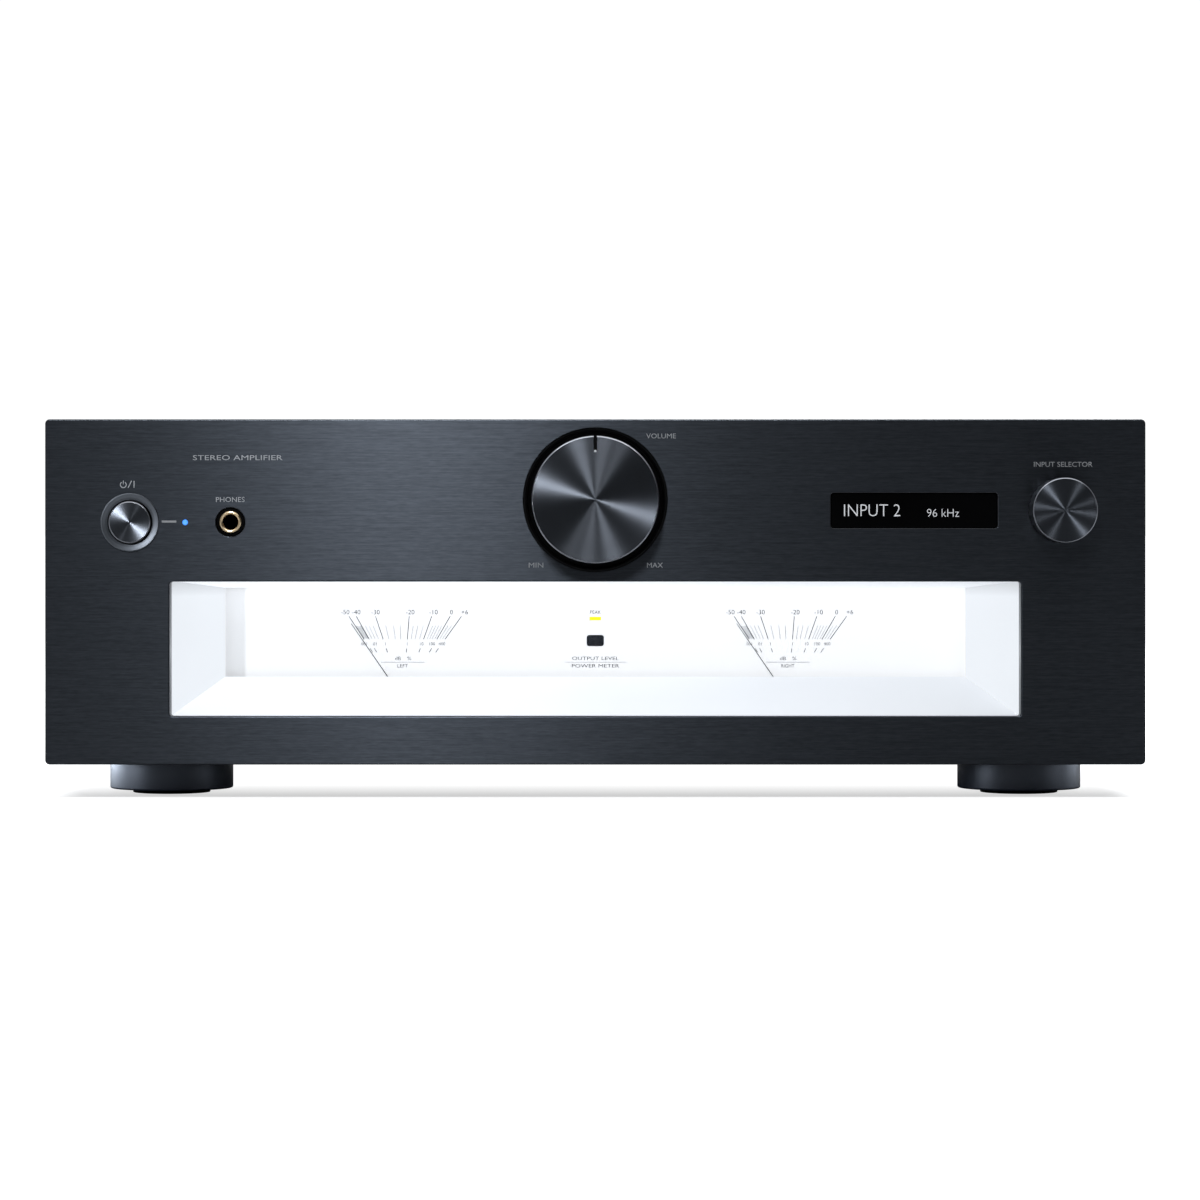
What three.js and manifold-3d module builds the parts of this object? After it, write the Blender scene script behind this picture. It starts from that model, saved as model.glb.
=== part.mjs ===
// Stereo integrated amplifier, full-width hi-fi chassis, as an assembly of separate parts.
// Millimetres, +Z up. The origin is on the floor, under the centre of the overall box.
// The front faces -Y, so +X is on the right when the front is looked at.
import * as THREE from "three";
import { mergeVertices } from "three/addons/utils/BufferGeometryUtils.js";
import Module from "manifold-3d";

const wasm = await Module();
wasm.setup();

// ---------------------------------------------------------------- driving dimensions
const WIDTH = 430; // across the front panel
const HEIGHT = 148; // floor to the top of the front panel
const DEPTH = 428; // volume knob's face to the ends of the speaker terminals
const KNOB_OUT = 20; // volume knob stands this far out of the panel
const FRONT_Y = -DEPTH / 2 + KNOB_OUT; // front panel's face
const TERMINAL_END_Y = DEPTH / 2; // ends of the speaker terminal caps
const SHEET = 1.5; // cover, tray and rear panel sheet
const REAR_Y = 189.8; // rear panel's outer face
const REAR_INNER_Y = REAR_Y - SHEET;

const PANEL = { z0: 13, thick: 7, r: 1.6 };
const COVER = { x: 213, z0: 14.2, z1: 146.5 }; // half width, lower edge, top
const TRAY = { x: COVER.x - SHEET - 0.3, z0: 13.6, z1: 42, bend: 1.8, innerBend: 0.9 };

// Front parts: y is measured back from the panel's face.
const SUBPANEL = { x: 209, y0: 9.4, y1: 10.9, z1: 144 };
const CONTROL_BOARD = { x: 204, y0: 26, y1: 27.6, z0: 95, z1: 141 };
const CONTROLS_Y1 = CONTROL_BOARD.y0 - 0.3; // rear of the small controls, clear of the board
const SHAFT_R = 3;
const SHAFT_BORE_R = SHAFT_R + 0.1;

const WINDOW = { x: 166.3, z0: 31.9, z1: 84.5, r: 1.2 }; // meter window in the panel
const DIAL_OPENING = { x: 147.6, z0: 46.1, z1: 81.6 }; // back end of the tapered housing
const DIAL = { x: 153, y0: 40, y1: 41.4, z0: 44.2, z1: 86.5 };
const PEAK = { x: 0, z: 69.2, halfX: 2.2, halfZ: 0.6 };
const SENSOR = { x: 0, z: 60.4, halfX: 3.35, halfZ: 2.15 };
const METER = { x: 77, z: 37.4 }; // needle pivots
const NEEDLE = { length: 36.2, restDegrees: 34.5 }; // rests left of upright

const VOLUME = { x: 0, z: 116.5, r: 24.6, well: 28.3 };
const SELECTOR = { x: 181.9, z: 112.4, r: 12.7, out: 17, bush: 4.1 };
const POWER = { x: -181.8, z: 107.7, r: 8.2, ring: 11.4, sleeve: 10.1 };
const LED = { x: -160.3, z: 107.7, r: 1.1 };
const PHONES = { x: -142.6, z: 107.8, r: 5.7, bore: 3.2 };
const DISPLAY = { x: 124.6, z: 112.3, halfX: 32.7, halfZ: 6.95, r: 1.2 };

const FOOT = { x: 169.3, r: 24.5, z0: 1.7, z1: 13.3, pad: 15.4 };
const FOOT_Y = { front: -154, rear: 142 };
const SCREW_Y = { front: -118, rear: 132 };
const COVER_SCREW = { z: 29, hole: 2.2 };
const SIDES = { left: -1, right: 1 };

// Rear parts
const INLET = { x: -176, z: 52 };
const TERMINAL = { z: 46, cap: 7.9 };
const TERMINALS = Object.entries({
  right_minus: -116.5,
  right_plus: -97.45,
  left_minus: -41.5,
  left_plus: -22.45,
}).map(([name, x]) => ({ name, x, z: TERMINAL.z }));
const JACKS = { x0: 55, pitchX: 28, columns: 5, z: 112, pitchZ: 17 };
const ANALOG_JACKS = Array.from({ length: JACKS.columns }, (_, i) =>
  [-1, 1].map((side) => ({
    x: JACKS.x0 + i * JACKS.pitchX,
    z: JACKS.z + (side * JACKS.pitchZ) / 2,
  })),
).flat();
const COAX_JACKS = [-26, -4].map((x) => ({ x, z: JACKS.z }));
const OPTICAL = { x: -64, z: JACKS.z, pitch: 17 };
const GROUND = { x: 30, z: 96 };
const SOCKETS = { y0: REAR_INNER_Y - 13.2, y1: REAR_INNER_Y - 0.3 }; // bodies behind the panel

const AXIS = { x: 0, y: 0, z: 0 };

// ---------------------------------------------------------------- solids
// One closed manifold from a three.js geometry: position only, merged, and facing out.
function solid(geometry) {
  const loose = geometry.index ? geometry.toNonIndexed() : geometry;
  const merged = mergeVertices(
    new THREE.BufferGeometry().setAttribute("position", loose.getAttribute("position").clone()),
    1e-4,
  );
  const corners = merged.index.array;
  const triangles = [];
  for (let i = 0; i < corners.length; i += 3) {
    const [a, b, c] = corners.subarray(i, i + 3);
    if (a !== b && b !== c && a !== c) triangles.push([a, b, c]);
  }
  const build = (list) =>
    new wasm.Manifold(
      new wasm.Mesh({
        numProp: 3,
        vertProperties: merged.attributes.position.array,
        triVerts: new Uint32Array(list.flat()),
      }),
    );
  const made = build(triangles);
  return made.volume() >= 0 ? made : build(triangles.map(([a, b, c]) => [a, c, b]));
}

function geometryOf(made) {
  const mesh = made.getMesh();
  const positions = new Float32Array(mesh.numVert * 3);
  for (let i = 0; i < mesh.numVert; i++) {
    const start = i * mesh.numProp;
    positions.set(mesh.vertProperties.subarray(start, start + 3), i * 3);
  }
  const geometry = new THREE.BufferGeometry()
    .setAttribute("position", new THREE.BufferAttribute(positions, 3))
    .setIndex(new THREE.BufferAttribute(mesh.triVerts, 1));
  geometry.computeVertexNormals();
  return geometry;
}

const join = (...parts) => parts.reduce((whole, part) => whole.add(part));
const cut = (body, ...tools) => tools.reduce((rest, tool) => rest.subtract(tool), body);

function box(x0, x1, y0, y1, z0, z1) {
  return solid(
    new THREE.BoxGeometry(x1 - x0, y1 - y0, z1 - z0).translate(
      (x0 + x1) / 2,
      (y0 + y1) / 2,
      (z0 + z1) / 2,
    ),
  );
}

// Box centred on a place in X and Z
const block = ({ x, z }, halfX, halfZ, y0, y1) =>
  box(x - halfX, x + halfX, y0, y1, z - halfZ, z + halfZ);

const cylinder = (r, length, segments) => new THREE.CylinderGeometry(r, r, length, segments);
const cylX = (y, z, r, x0, x1, segments) =>
  solid(cylinder(r, x1 - x0, segments).rotateZ(Math.PI / 2).translate((x0 + x1) / 2, y, z));
const cylY = ({ x, z }, r, y0, y1, segments) =>
  solid(cylinder(r, y1 - y0, segments).translate(x, (y0 + y1) / 2, z));
const cylZ = ({ x, y }, r, z0, z1, segments) =>
  solid(cylinder(r, z1 - z0, segments).rotateX(Math.PI / 2).translate(x, y, (z0 + z1) / 2));

// Outline of a rounded rectangle, with a number of steps round each corner
function roundRect(u0, u1, v0, v1, r, steps) {
  const corners = [
    [u1 - r, v0 + r, -90],
    [u1 - r, v1 - r, 0],
    [u0 + r, v1 - r, 90],
    [u0 + r, v0 + r, 180],
  ];
  return corners.flatMap(([u, v, startDegrees]) =>
    Array.from({ length: steps + 1 }, (_, i) => {
      const angle = THREE.MathUtils.degToRad(startDegrees + (90 * i) / steps);
      return [u + r * Math.cos(angle), v + r * Math.sin(angle)];
    }),
  );
}

const points = (pairs) => pairs.map(([a, b]) => new THREE.Vector2(a, b));
const extrusion = (outline, depth) =>
  new THREE.ExtrudeGeometry(new THREE.Shape(points(outline)), { depth, bevelEnabled: false });
// An outline in X and Z, drawn out along Y
const prismY = (outline, y0, y1) =>
  solid(extrusion(outline, y1 - y0).rotateX(Math.PI / 2).translate(0, y1, 0));
// An outline in X and Y, drawn out along Z
const prismZ = (outline, z0, z1) => solid(extrusion(outline, z1 - z0).translate(0, 0, z0));
// Block with rounded edges along Y
const roundBlock = ({ x, z }, halfX, halfZ, r, steps, y0, y1) =>
  prismY(roundRect(x - halfX, x + halfX, z - halfZ, z + halfZ, r, steps), y0, y1);

// Turned part about Y: profile of [radius, y]
const turnY = ({ x, z }, profile, segments) =>
  solid(new THREE.LatheGeometry(points(profile), segments).translate(x, 0, z));
// Turned part about Z: profile of [radius, z]
const turnZ = ({ x, y }, profile, segments) =>
  solid(new THREE.LatheGeometry(points(profile), segments).rotateX(Math.PI / 2).translate(x, y, 0));

// Four-sided funnel between two openings { x, z0, z1 }, x being the half width
function funnel(front, y0, rear, y1) {
  const middle = (y0 + y1) / 2;
  const geometry = new THREE.BoxGeometry(2, y1 - y0, 2).translate(0, middle, 0);
  const corner = geometry.getAttribute("position");
  for (let i = 0; i < corner.count; i++) {
    const end = corner.getY(i) < middle ? front : rear;
    corner.setX(i, corner.getX(i) < 0 ? -end.x : end.x);
    corner.setZ(i, corner.getZ(i) < 0 ? end.z0 : end.z1);
  }
  return solid(geometry);
}
const grow = ({ x, z0, z1 }, sideways, down, up) => ({
  x: x + sideways,
  z0: z0 - down,
  z1: z1 + up,
});

// Outline of a symmetrical folded sheet, from the outer and inner [x, z] of its +X half.
// Each half runs from the sheet's edge towards the middle.
function foldedSheet(outer, inner) {
  const mirror = ([x, z]) => [-x, z];
  return [
    ...outer.map(mirror),
    ...[...outer].reverse(),
    ...inner,
    ...[...inner].reverse().map(mirror),
  ];
}

// ---------------------------------------------------------------- materials
// Non-metals keep the default metalness of 0.
const material = (options) => new THREE.MeshStandardMaterial({ flatShading: true, ...options });
const glowing = (color, roughness) => material({ color, roughness, emissive: color });
const BLACK_ALU = material({ color: 0x23262b, roughness: 0.42, metalness: 0.9 });
const SPUN_ALU = material({ color: 0x5c626b, roughness: 0.3, metalness: 1 });
const RING_ALU = material({ color: 0x4a4f57, roughness: 0.38, metalness: 1 });
const BLACK_SHEET = material({ color: 0x1c1d20, roughness: 0.6, metalness: 0.5 });
const ZINC = material({ color: 0x9ea1a4, roughness: 0.45, metalness: 0.9 });
const GOLD = material({ color: 0xd9b26a, roughness: 0.25, metalness: 1 });
const DARK_METAL = material({ color: 0x2b2c2e, roughness: 0.5, metalness: 0.8 });
const COPPER = material({ color: 0x8a4a22, roughness: 0.4, metalness: 0.6 });
const SCREW_STEEL = material({ color: 0x2b2c30, roughness: 0.35, metalness: 0.9 });
const NEEDLE_BLACK = material({ color: 0x1a1b1e, roughness: 0.5, metalness: 0.2 });
const FOOT_GREY = material({ color: 0x20242c, roughness: 0.45, metalness: 0.1 });
const BLACK_PLASTIC = material({ color: 0x121316, roughness: 0.55 });
const GLOSS_BLACK = material({ color: 0x050506, roughness: 0.12 });
const WHITE = material({ color: 0xf2f4f8, roughness: 0.55 });
const CLEAR = material({ color: 0xffffff, roughness: 0.05, transparent: true, opacity: 0.15 });
const RUBBER = material({ color: 0x0a0a0b, roughness: 0.85 });
const BOARD_GREEN = material({ color: 0x1f5a3a, roughness: 0.5 });
const CAP_SLEEVE = material({ color: 0x1b1c22, roughness: 0.35 });
const BLUE = glowing(0x2f8cff, 0.2);
const YELLOW = glowing(0xfff000, 0.4);

// ---------------------------------------------------------------- assembly
function add(parent, name, made, finish) {
  const mesh = new THREE.Mesh(geometryOf(made), finish);
  mesh.name = name;
  parent.add(mesh);
  return mesh;
}
function addGroup(parent, x, y, z) {
  const group = new THREE.Group();
  group.position.set(x, y, z);
  parent.add(group);
  return group;
}

const amplifier = new THREE.Group();

// ================================================================ front, from the panel's face
const front = addGroup(amplifier, 0, FRONT_Y, 0);

// Thick panel with the meter window, the display slot and round openings
const THROUGH_PANEL = [-1, PANEL.thick + 1];
const panelHole = (at, r, segments) => cylY(at, r, ...THROUGH_PANEL, segments);
add(
  front,
  "front_panel",
  cut(
    prismY(roundRect(-WIDTH / 2, WIDTH / 2, PANEL.z0, HEIGHT, PANEL.r, 4), 0, PANEL.thick),
    prismY(
      roundRect(-WINDOW.x, WINDOW.x, WINDOW.z0, WINDOW.z1, WINDOW.r, 3),
      ...THROUGH_PANEL,
    ),
    roundBlock(DISPLAY, DISPLAY.halfX, DISPLAY.halfZ, DISPLAY.r, 3, ...THROUGH_PANEL),
    panelHole(VOLUME, VOLUME.well, 48),
    panelHole(POWER, POWER.sleeve + 0.2, 32),
    panelHole(LED, LED.r + 0.1, 12),
    panelHole(PHONES, PHONES.r, 24),
    panelHole(SELECTOR, SELECTOR.bush + 0.3, 16),
  ),
  BLACK_ALU,
);

// Folded frame behind the panel: a sheet with two side flanges and a top flange
const THROUGH_SUBPANEL = [SUBPANEL.y0 - 1, SUBPANEL.y1 + 1];
const flangeY0 = SUBPANEL.y1 - 0.5;
const subpanelHole = (at, r, segments) => cylY(at, r, ...THROUGH_SUBPANEL, segments);
add(
  front,
  "front_subpanel",
  cut(
    join(
      box(-SUBPANEL.x, SUBPANEL.x, SUBPANEL.y0, SUBPANEL.y1, 15.6, SUBPANEL.z1),
      box(-SUBPANEL.x, SHEET - SUBPANEL.x, flangeY0, 24, 44, SUBPANEL.z1),
      box(SUBPANEL.x - SHEET, SUBPANEL.x, flangeY0, 24, 44, SUBPANEL.z1),
      box(-SUBPANEL.x, SUBPANEL.x, flangeY0, 22, SUBPANEL.z1 - SHEET, SUBPANEL.z1),
    ),
    box(-171.5, 171.5, ...THROUGH_SUBPANEL, 27, 89.3),
    block(DISPLAY, 35, 9, ...THROUGH_SUBPANEL),
    subpanelHole(VOLUME, 6, 16),
    subpanelHole(POWER, 4.6, 12),
    subpanelHole(LED, 2.2, 10),
    subpanelHole(PHONES, 6.2, 16),
    subpanelHole(SELECTOR, SELECTOR.bush + 0.3, 12),
  ),
  ZINC,
);

// Clear sheet behind the window
const clearSheet = box(-170, 170, PANEL.thick + 0.2, PANEL.thick + 2.2, 28.6, 88.2);
add(front, "meter_window", clearSheet, CLEAR);

// White flanged housing that tapers back from the window towards the dial plate
const housingMouth = grow(WINDOW, 0.2, 0.2, 0.2);
add(
  front,
  "meter_housing",
  cut(
    join(
      funnel(grow(housingMouth, 2.4, 2.2, 2.2), 9.5, grow(DIAL_OPENING, 2.2, 2.2, 2), 37.5),
      box(-177, 177, 11.2, 13.2, 23, 92),
    ),
    funnel(housingMouth, 9.4, DIAL_OPENING, 37.6),
  ),
  WHITE,
);

// White dial plate, and the two small inserts set into it with a gap all round
const INSERT_GAP = 0.1;
const THROUGH_DIAL = [DIAL.y0 - 1, DIAL.y0 + 3];
const INSERT_SPAN = [DIAL.y0 - 0.2, DIAL.y0 + 3.2];
const peakBlock = (gap, span) => block(PEAK, PEAK.halfX + gap, PEAK.halfZ + gap, ...span);
const sensorBlock = (gap, span) =>
  roundBlock(SENSOR, SENSOR.halfX + gap, SENSOR.halfZ + gap, 0.8 + gap, 2, ...span);
add(
  front,
  "dial_plate",
  cut(
    box(-DIAL.x, DIAL.x, DIAL.y0, DIAL.y1, DIAL.z0, DIAL.z1),
    peakBlock(INSERT_GAP, THROUGH_DIAL),
    sensorBlock(INSERT_GAP, THROUGH_DIAL),
  ),
  WHITE,
);
add(front, "peak_indicator", peakBlock(0, INSERT_SPAN), YELLOW);
add(front, "remote_sensor_window", sensorBlock(0, INSERT_SPAN), GLOSS_BLACK);

// Board behind the dial with a row of lamps on its front
const LAMPS = { count: 11, pitch: 26, half: 2.5, z: 78.5 };
const lamps = Array.from({ length: LAMPS.count }, (_, i) => {
  const x = (i - (LAMPS.count - 1) / 2) * LAMPS.pitch;
  return block({ x, z: LAMPS.z }, LAMPS.half, LAMPS.half, 44.6, 46.5);
});
add(front, "meter_light_board", join(box(-150, 150, 46, 47.6, 50, 85), ...lamps), BOARD_GREEN);

// Tapered needle blade with its tail, [x, z] from the pivot
const NEEDLE_OUTLINE = [
  [-0.55, -7.5], [0.55, -7.5], [0.5, 0],
  [0.26, NEEDLE.length], [-0.26, NEEDLE.length], [-0.5, 0],
];

// Moving-coil movements: a magnet frame with a bore, and the needle with its staff and coil
for (const [side, sign] of Object.entries(SIDES)) {
  const meter = addGroup(front, sign * METER.x, 0, METER.z);
  add(
    meter,
    `${side}_meter_movement`,
    cut(
      join(box(-16, 16, 43.6, 62, -9.4, 7.6), box(-22, 22, 52, 62, -9.4, -6)),
      cylY(AXIS, 6.7, 43, 60, 16),
      box(-5, 5, 43, 46.5, 0, 9),
    ),
    DARK_METAL,
  );
  const blade = prismY(NEEDLE_OUTLINE, 38.2, 38.7);
  const hub = cylY(AXIS, 2.4, 38, 39.4, 12);
  const counterweight = cylY({ x: 0, z: -6.4 }, 1.5, 38, 38.9, 8);
  const staff = cylY(AXIS, 0.9, 39, 45, 8);
  const coil = cylY(AXIS, 6.1, 44.6, 59, 16);
  const needle = join(blade, hub, counterweight, staff, coil);
  add(meter, `${side}_needle`, needle, NEEDLE_BLACK).rotation.y =
    THREE.MathUtils.degToRad(-NEEDLE.restDegrees);
}

// Display: a black lens in the panel's slot, and the module behind it
add(
  front,
  "display_window",
  join(
    roundBlock(DISPLAY, DISPLAY.halfX - 0.3, DISPLAY.halfZ - 0.3, 1, 3, 0.8, 7.6),
    block(DISPLAY, 36.5, 9.8, 7.3, 8.9),
  ),
  GLOSS_BLACK,
);
add(
  front,
  "display_module",
  join(block(DISPLAY, 33.5, 7.8, 9.2, 12.5), block(DISPLAY, 40, 13, 12.4, 14)),
  BOARD_GREEN,
);

// Standby button: dished ring, cap on a stem, and the switch that it works
const POWER_RING_PROFILE = [
  [8.6, 0.9], [11, -1.1], [POWER.ring, -0.9], [POWER.ring, -0.2],
  [POWER.sleeve, -0.2], [POWER.sleeve, 7.4], [8.6, 7.4], [8.6, 0.9],
];
add(front, "power_ring", turnY(POWER, POWER_RING_PROFILE, 28), RING_ALU);
const POWER_BUTTON_PROFILE = [
  [0, -2.4], [POWER.r - 0.4, -2.4], [POWER.r, -2], [POWER.r, 6.6],
  [3, 6.6], [3, 14.4], [0, 14.4],
];
add(front, "power_button", turnY(POWER, POWER_BUTTON_PROFILE, 28), SPUN_ALU);
add(
  front,
  "power_switch",
  cut(block(POWER, 7, 7, 13.8, CONTROLS_Y1), cylY(POWER, 3.4, 13, 19, 16)),
  BLACK_PLASTIC,
);

// Standby lamp with a domed tip and a wider rear body
const LED_PROFILE = [
  [0, -0.25], [0.6, -0.1], [LED.r, 0.35], [LED.r, 8.2],
  [1.7, 8.2], [1.7, CONTROLS_Y1], [0, CONTROLS_Y1],
];
add(front, "standby_led", turnY(LED, LED_PROFILE, 12), BLUE);

// Headphone socket: black nose and body with a blind bore, and its gilt ring
add(
  front,
  "phones_jack",
  cut(
    join(cylY(PHONES, 5.5, 0.5, 12, 20), block(PHONES, 8, 8, 11.4, 42)),
    cylY(PHONES, 4.5, 0, 8.4, 20),
    cylY(PHONES, PHONES.bore, 8, 39, 16),
  ),
  BLACK_PLASTIC,
);
const PHONES_RING_PROFILE = [
  [PHONES.bore, 0.6], [3.75, -0.1], [4.3, 0.5],
  [4.3, 8], [PHONES.bore, 8], [PHONES.bore, 0.6],
];
add(front, "phones_ring", turnY(PHONES, PHONES_RING_PROFILE, 20), GOLD);

// Volume: black well in the panel, spun knob, shaft and potentiometer
const WELL_R = VOLUME.well - 0.3;
const WELL_INNER_R = VOLUME.well - 1.1;
const VOLUME_WELL_PROFILE = [
  [4.2, 7.4], [WELL_INNER_R, 7.4], [WELL_INNER_R, 0.9], [WELL_R, 0.4],
  [WELL_R, 9], [4.2, 9], [4.2, 7.4],
];
add(front, "volume_well", turnY(VOLUME, VOLUME_WELL_PROFILE, 36), BLACK_PLASTIC);

// Hollow knob with a central boss bored for its shaft.
// Sizes: out of the panel, edge chamfer, wall, face thickness, rim's rear y, boss radius,
// boss's rear y and the y where the bore ends.
function knob(at, { out, chamfer, wall, face, rimY, boss, bossY, boreY }, segments) {
  const profile = [
    [0, -out], [at.r - chamfer, -out], [at.r, -out + chamfer], [at.r, rimY],
    [at.r - wall, rimY], [at.r - wall, -out + face], [boss, -out + face], [boss, bossY],
    [SHAFT_BORE_R, bossY], [SHAFT_BORE_R, boreY], [0, boreY],
  ];
  return turnY(at, profile, segments);
}
const VOLUME_KNOB = {
  out: KNOB_OUT, chamfer: 0.7, wall: 2.2, face: 4,
  rimY: 6.2, boss: 7, bossY: 2, boreY: -14,
};
const volumeTop = VOLUME.z + VOLUME.r;
add(
  front,
  "volume_knob",
  cut(
    knob(VOLUME, VOLUME_KNOB, 40),
    // pointer groove across the top of the knob's face
    box(-0.65, 0.65, -KNOB_OUT - 1, -KNOB_OUT + 0.9, volumeTop - 6.5, volumeTop + 1),
  ),
  SPUN_ALU,
);
add(front, "volume_shaft", cylY(VOLUME, SHAFT_R, -13.6, 30, 16), ZINC);
add(
  front,
  "volume_pot",
  cut(
    join(
      cylY(VOLUME, 5.4, 9.4, 14, 16),
      block(VOLUME, 13.5, 13.5, 13.4, 34),
      block(VOLUME, 15, 14.5, 33.5, 41),
      cylY(VOLUME, 9, 40.5, 64, 20),
    ),
    cylY(VOLUME, SHAFT_BORE_R, 9, 31, 16),
  ),
  ZINC,
);

// Input selector: spun knob, shaft and encoder
const SELECTOR_KNOB = {
  out: SELECTOR.out, chamfer: 0.5, wall: 1.8, face: 3,
  rimY: -0.8, boss: 5.6, bossY: -1.6, boreY: -12,
};
add(front, "selector_knob", knob(SELECTOR, SELECTOR_KNOB, 28), SPUN_ALU);
add(front, "selector_shaft", cylY(SELECTOR, SHAFT_R, -11.7, 20, 16), ZINC);
add(
  front,
  "selector_encoder",
  cut(
    join(
      cylY(SELECTOR, SELECTOR.bush, 0.6, 14, 16),
      block(SELECTOR, 7.5, 7.5, 12.6, CONTROLS_Y1),
    ),
    cylY(SELECTOR, SHAFT_BORE_R, 0, 21, 16),
  ),
  ZINC,
);

// Board across the front, behind the small controls
const { x: boardX, y0: boardY0, y1: boardY1, z0: boardZ0, z1: boardZ1 } = CONTROL_BOARD;
add(
  front,
  "control_board",
  cut(
    box(-boardX, boardX, boardY0, boardY1, boardZ0, boardZ1),
    block(PHONES, 8.6, 8.6, 25, 29),
    block(VOLUME, 16, 16, 25, 29),
  ),
  BOARD_GREEN,
);

// ================================================================ chassis
// Clearance holes for the cover screws through both sides of a folded sheet
const screwHoles = (x0, x1) =>
  Object.values(SCREW_Y).flatMap((y) =>
    [[-x1, -x0], [x0, x1]].map((span) => cylX(y, COVER_SCREW.z, COVER_SCREW.hole, ...span, 10)),
  );

// Folded tray: floor with ventilation slots and two upright sides
const SLOTS = { lefts: [-176, -110, 40, 106], length: 52, rows: 5, y0: -80, pitch: 17, width: 5 };
const slots = SLOTS.lefts.flatMap((x) =>
  Array.from({ length: SLOTS.rows }, (_, i) => {
    const y = SLOTS.y0 + i * SLOTS.pitch;
    return box(x, x + SLOTS.length, y, y + SLOTS.width, 12, 17);
  }),
);
const trayInnerX = TRAY.x - SHEET;
const trayFloor = TRAY.z0 + SHEET;
const trayOutline = foldedSheet(
  [[TRAY.x, TRAY.z1], [TRAY.x, TRAY.z0 + TRAY.bend], [TRAY.x - TRAY.bend, TRAY.z0]],
  [
    [trayInnerX, TRAY.z1],
    [trayInnerX, trayFloor + TRAY.innerBend],
    [trayInnerX - TRAY.innerBend, trayFloor],
  ],
);
add(
  amplifier,
  "bottom_chassis",
  cut(
    prismY(trayOutline, FRONT_Y + SUBPANEL.y1 + 0.4, REAR_INNER_Y - 0.3),
    ...slots,
    ...screwHoles(209, 212),
  ),
  ZINC,
);

// Top cover: one sheet folded over the top and both sides, with three fields of vents
const VENTS = { fields: [-122, 0, 122], count: 8, pitch: 10.4, halfWidth: 2, y0: -42, y1: 112 };
const vents = VENTS.fields.flatMap((centre) =>
  Array.from({ length: VENTS.count }, (_, i) => {
    const x = centre + (i - (VENTS.count - 1) / 2) * VENTS.pitch;
    const { halfWidth, y0, y1 } = VENTS;
    return prismZ(roundRect(x - halfWidth, x + halfWidth, y0, y1, 1.9, 1), 144, 148);
  }),
);
const coverOutline = foldedSheet(
  [
    [COVER.x, COVER.z0],
    [COVER.x, COVER.z1 - 2.6],
    [COVER.x - 0.8, COVER.z1 - 0.8],
    [COVER.x - 2.6, COVER.z1],
  ],
  [
    [COVER.x - SHEET, COVER.z0],
    [COVER.x - SHEET, COVER.z1 - 2.9],
    [COVER.x - 2.9, COVER.z1 - SHEET],
  ],
);
add(
  amplifier,
  "top_cover",
  cut(
    prismY(coverOutline, FRONT_Y + PANEL.thick + 0.4, REAR_Y + 0.4),
    ...vents,
    ...screwHoles(211, 214),
  ),
  BLACK_SHEET,
);

// Four cross-slotted pan-head screws hold the cover to the tray; each is modelled along +Y
const SCREW_PROFILE = [
  [0, 1.8], [2.9, 1.8], [4, 0.9], [4.2, 0.15], [1.9, 0.15], [1.9, -7.2], [0, -8.4],
];
for (const [side, sign] of Object.entries(SIDES))
  for (const [end, y] of Object.entries(SCREW_Y)) {
    const made = cut(
      turnY(AXIS, SCREW_PROFILE, 8),
      block(AXIS, 1.9, 0.4, 0.9, 2.5),
      block(AXIS, 0.4, 1.9, 0.9, 2.5),
    );
    const screw = add(amplifier, `cover_screw_${side}_${end}`, made, SCREW_STEEL);
    screw.rotation.z = (-sign * Math.PI) / 2; // head outwards
    screw.position.set(sign * COVER.x, y, COVER_SCREW.z);
  }

// Upright sheet that screens the mains side from the amplifier side
add(
  amplifier,
  "shield_partition",
  cut(
    join(box(-50, -48.8, -136, 160, 15.5, 122), box(-50, -38, -136, 160, 15.5, 16.7)),
    box(-52, -47, -60, 60, 96, 123),
  ),
  ZINC,
);

// Feet: turned foot with a recess, and a pad that touches the floor
const FOOT_RECESS_R = FOOT.pad + 0.3;
const FOOT_PROFILE = [
  [0, 4.8], [FOOT_RECESS_R, 4.8], [FOOT_RECESS_R, FOOT.z0], [FOOT.r - 0.7, FOOT.z0],
  [FOOT.r, FOOT.z0 + 0.9], [FOOT.r, FOOT.z1], [0, FOOT.z1],
];
const PAD_PROFILE = [[0, 0], [FOOT.pad - 0.6, 0], [FOOT.pad, 0.5], [FOOT.pad, 4.6], [0, 4.6]];
for (const [side, sign] of Object.entries(SIDES))
  for (const [end, y] of Object.entries(FOOT_Y)) {
    const foot = addGroup(amplifier, sign * FOOT.x, y, 0);
    add(foot, `foot_${end}_${side}`, turnZ(AXIS, FOOT_PROFILE, 24), FOOT_GREY);
    add(foot, `foot_pad_${end}_${side}`, turnZ(AXIS, PAD_PROFILE, 18), RUBBER);
  }

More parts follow.
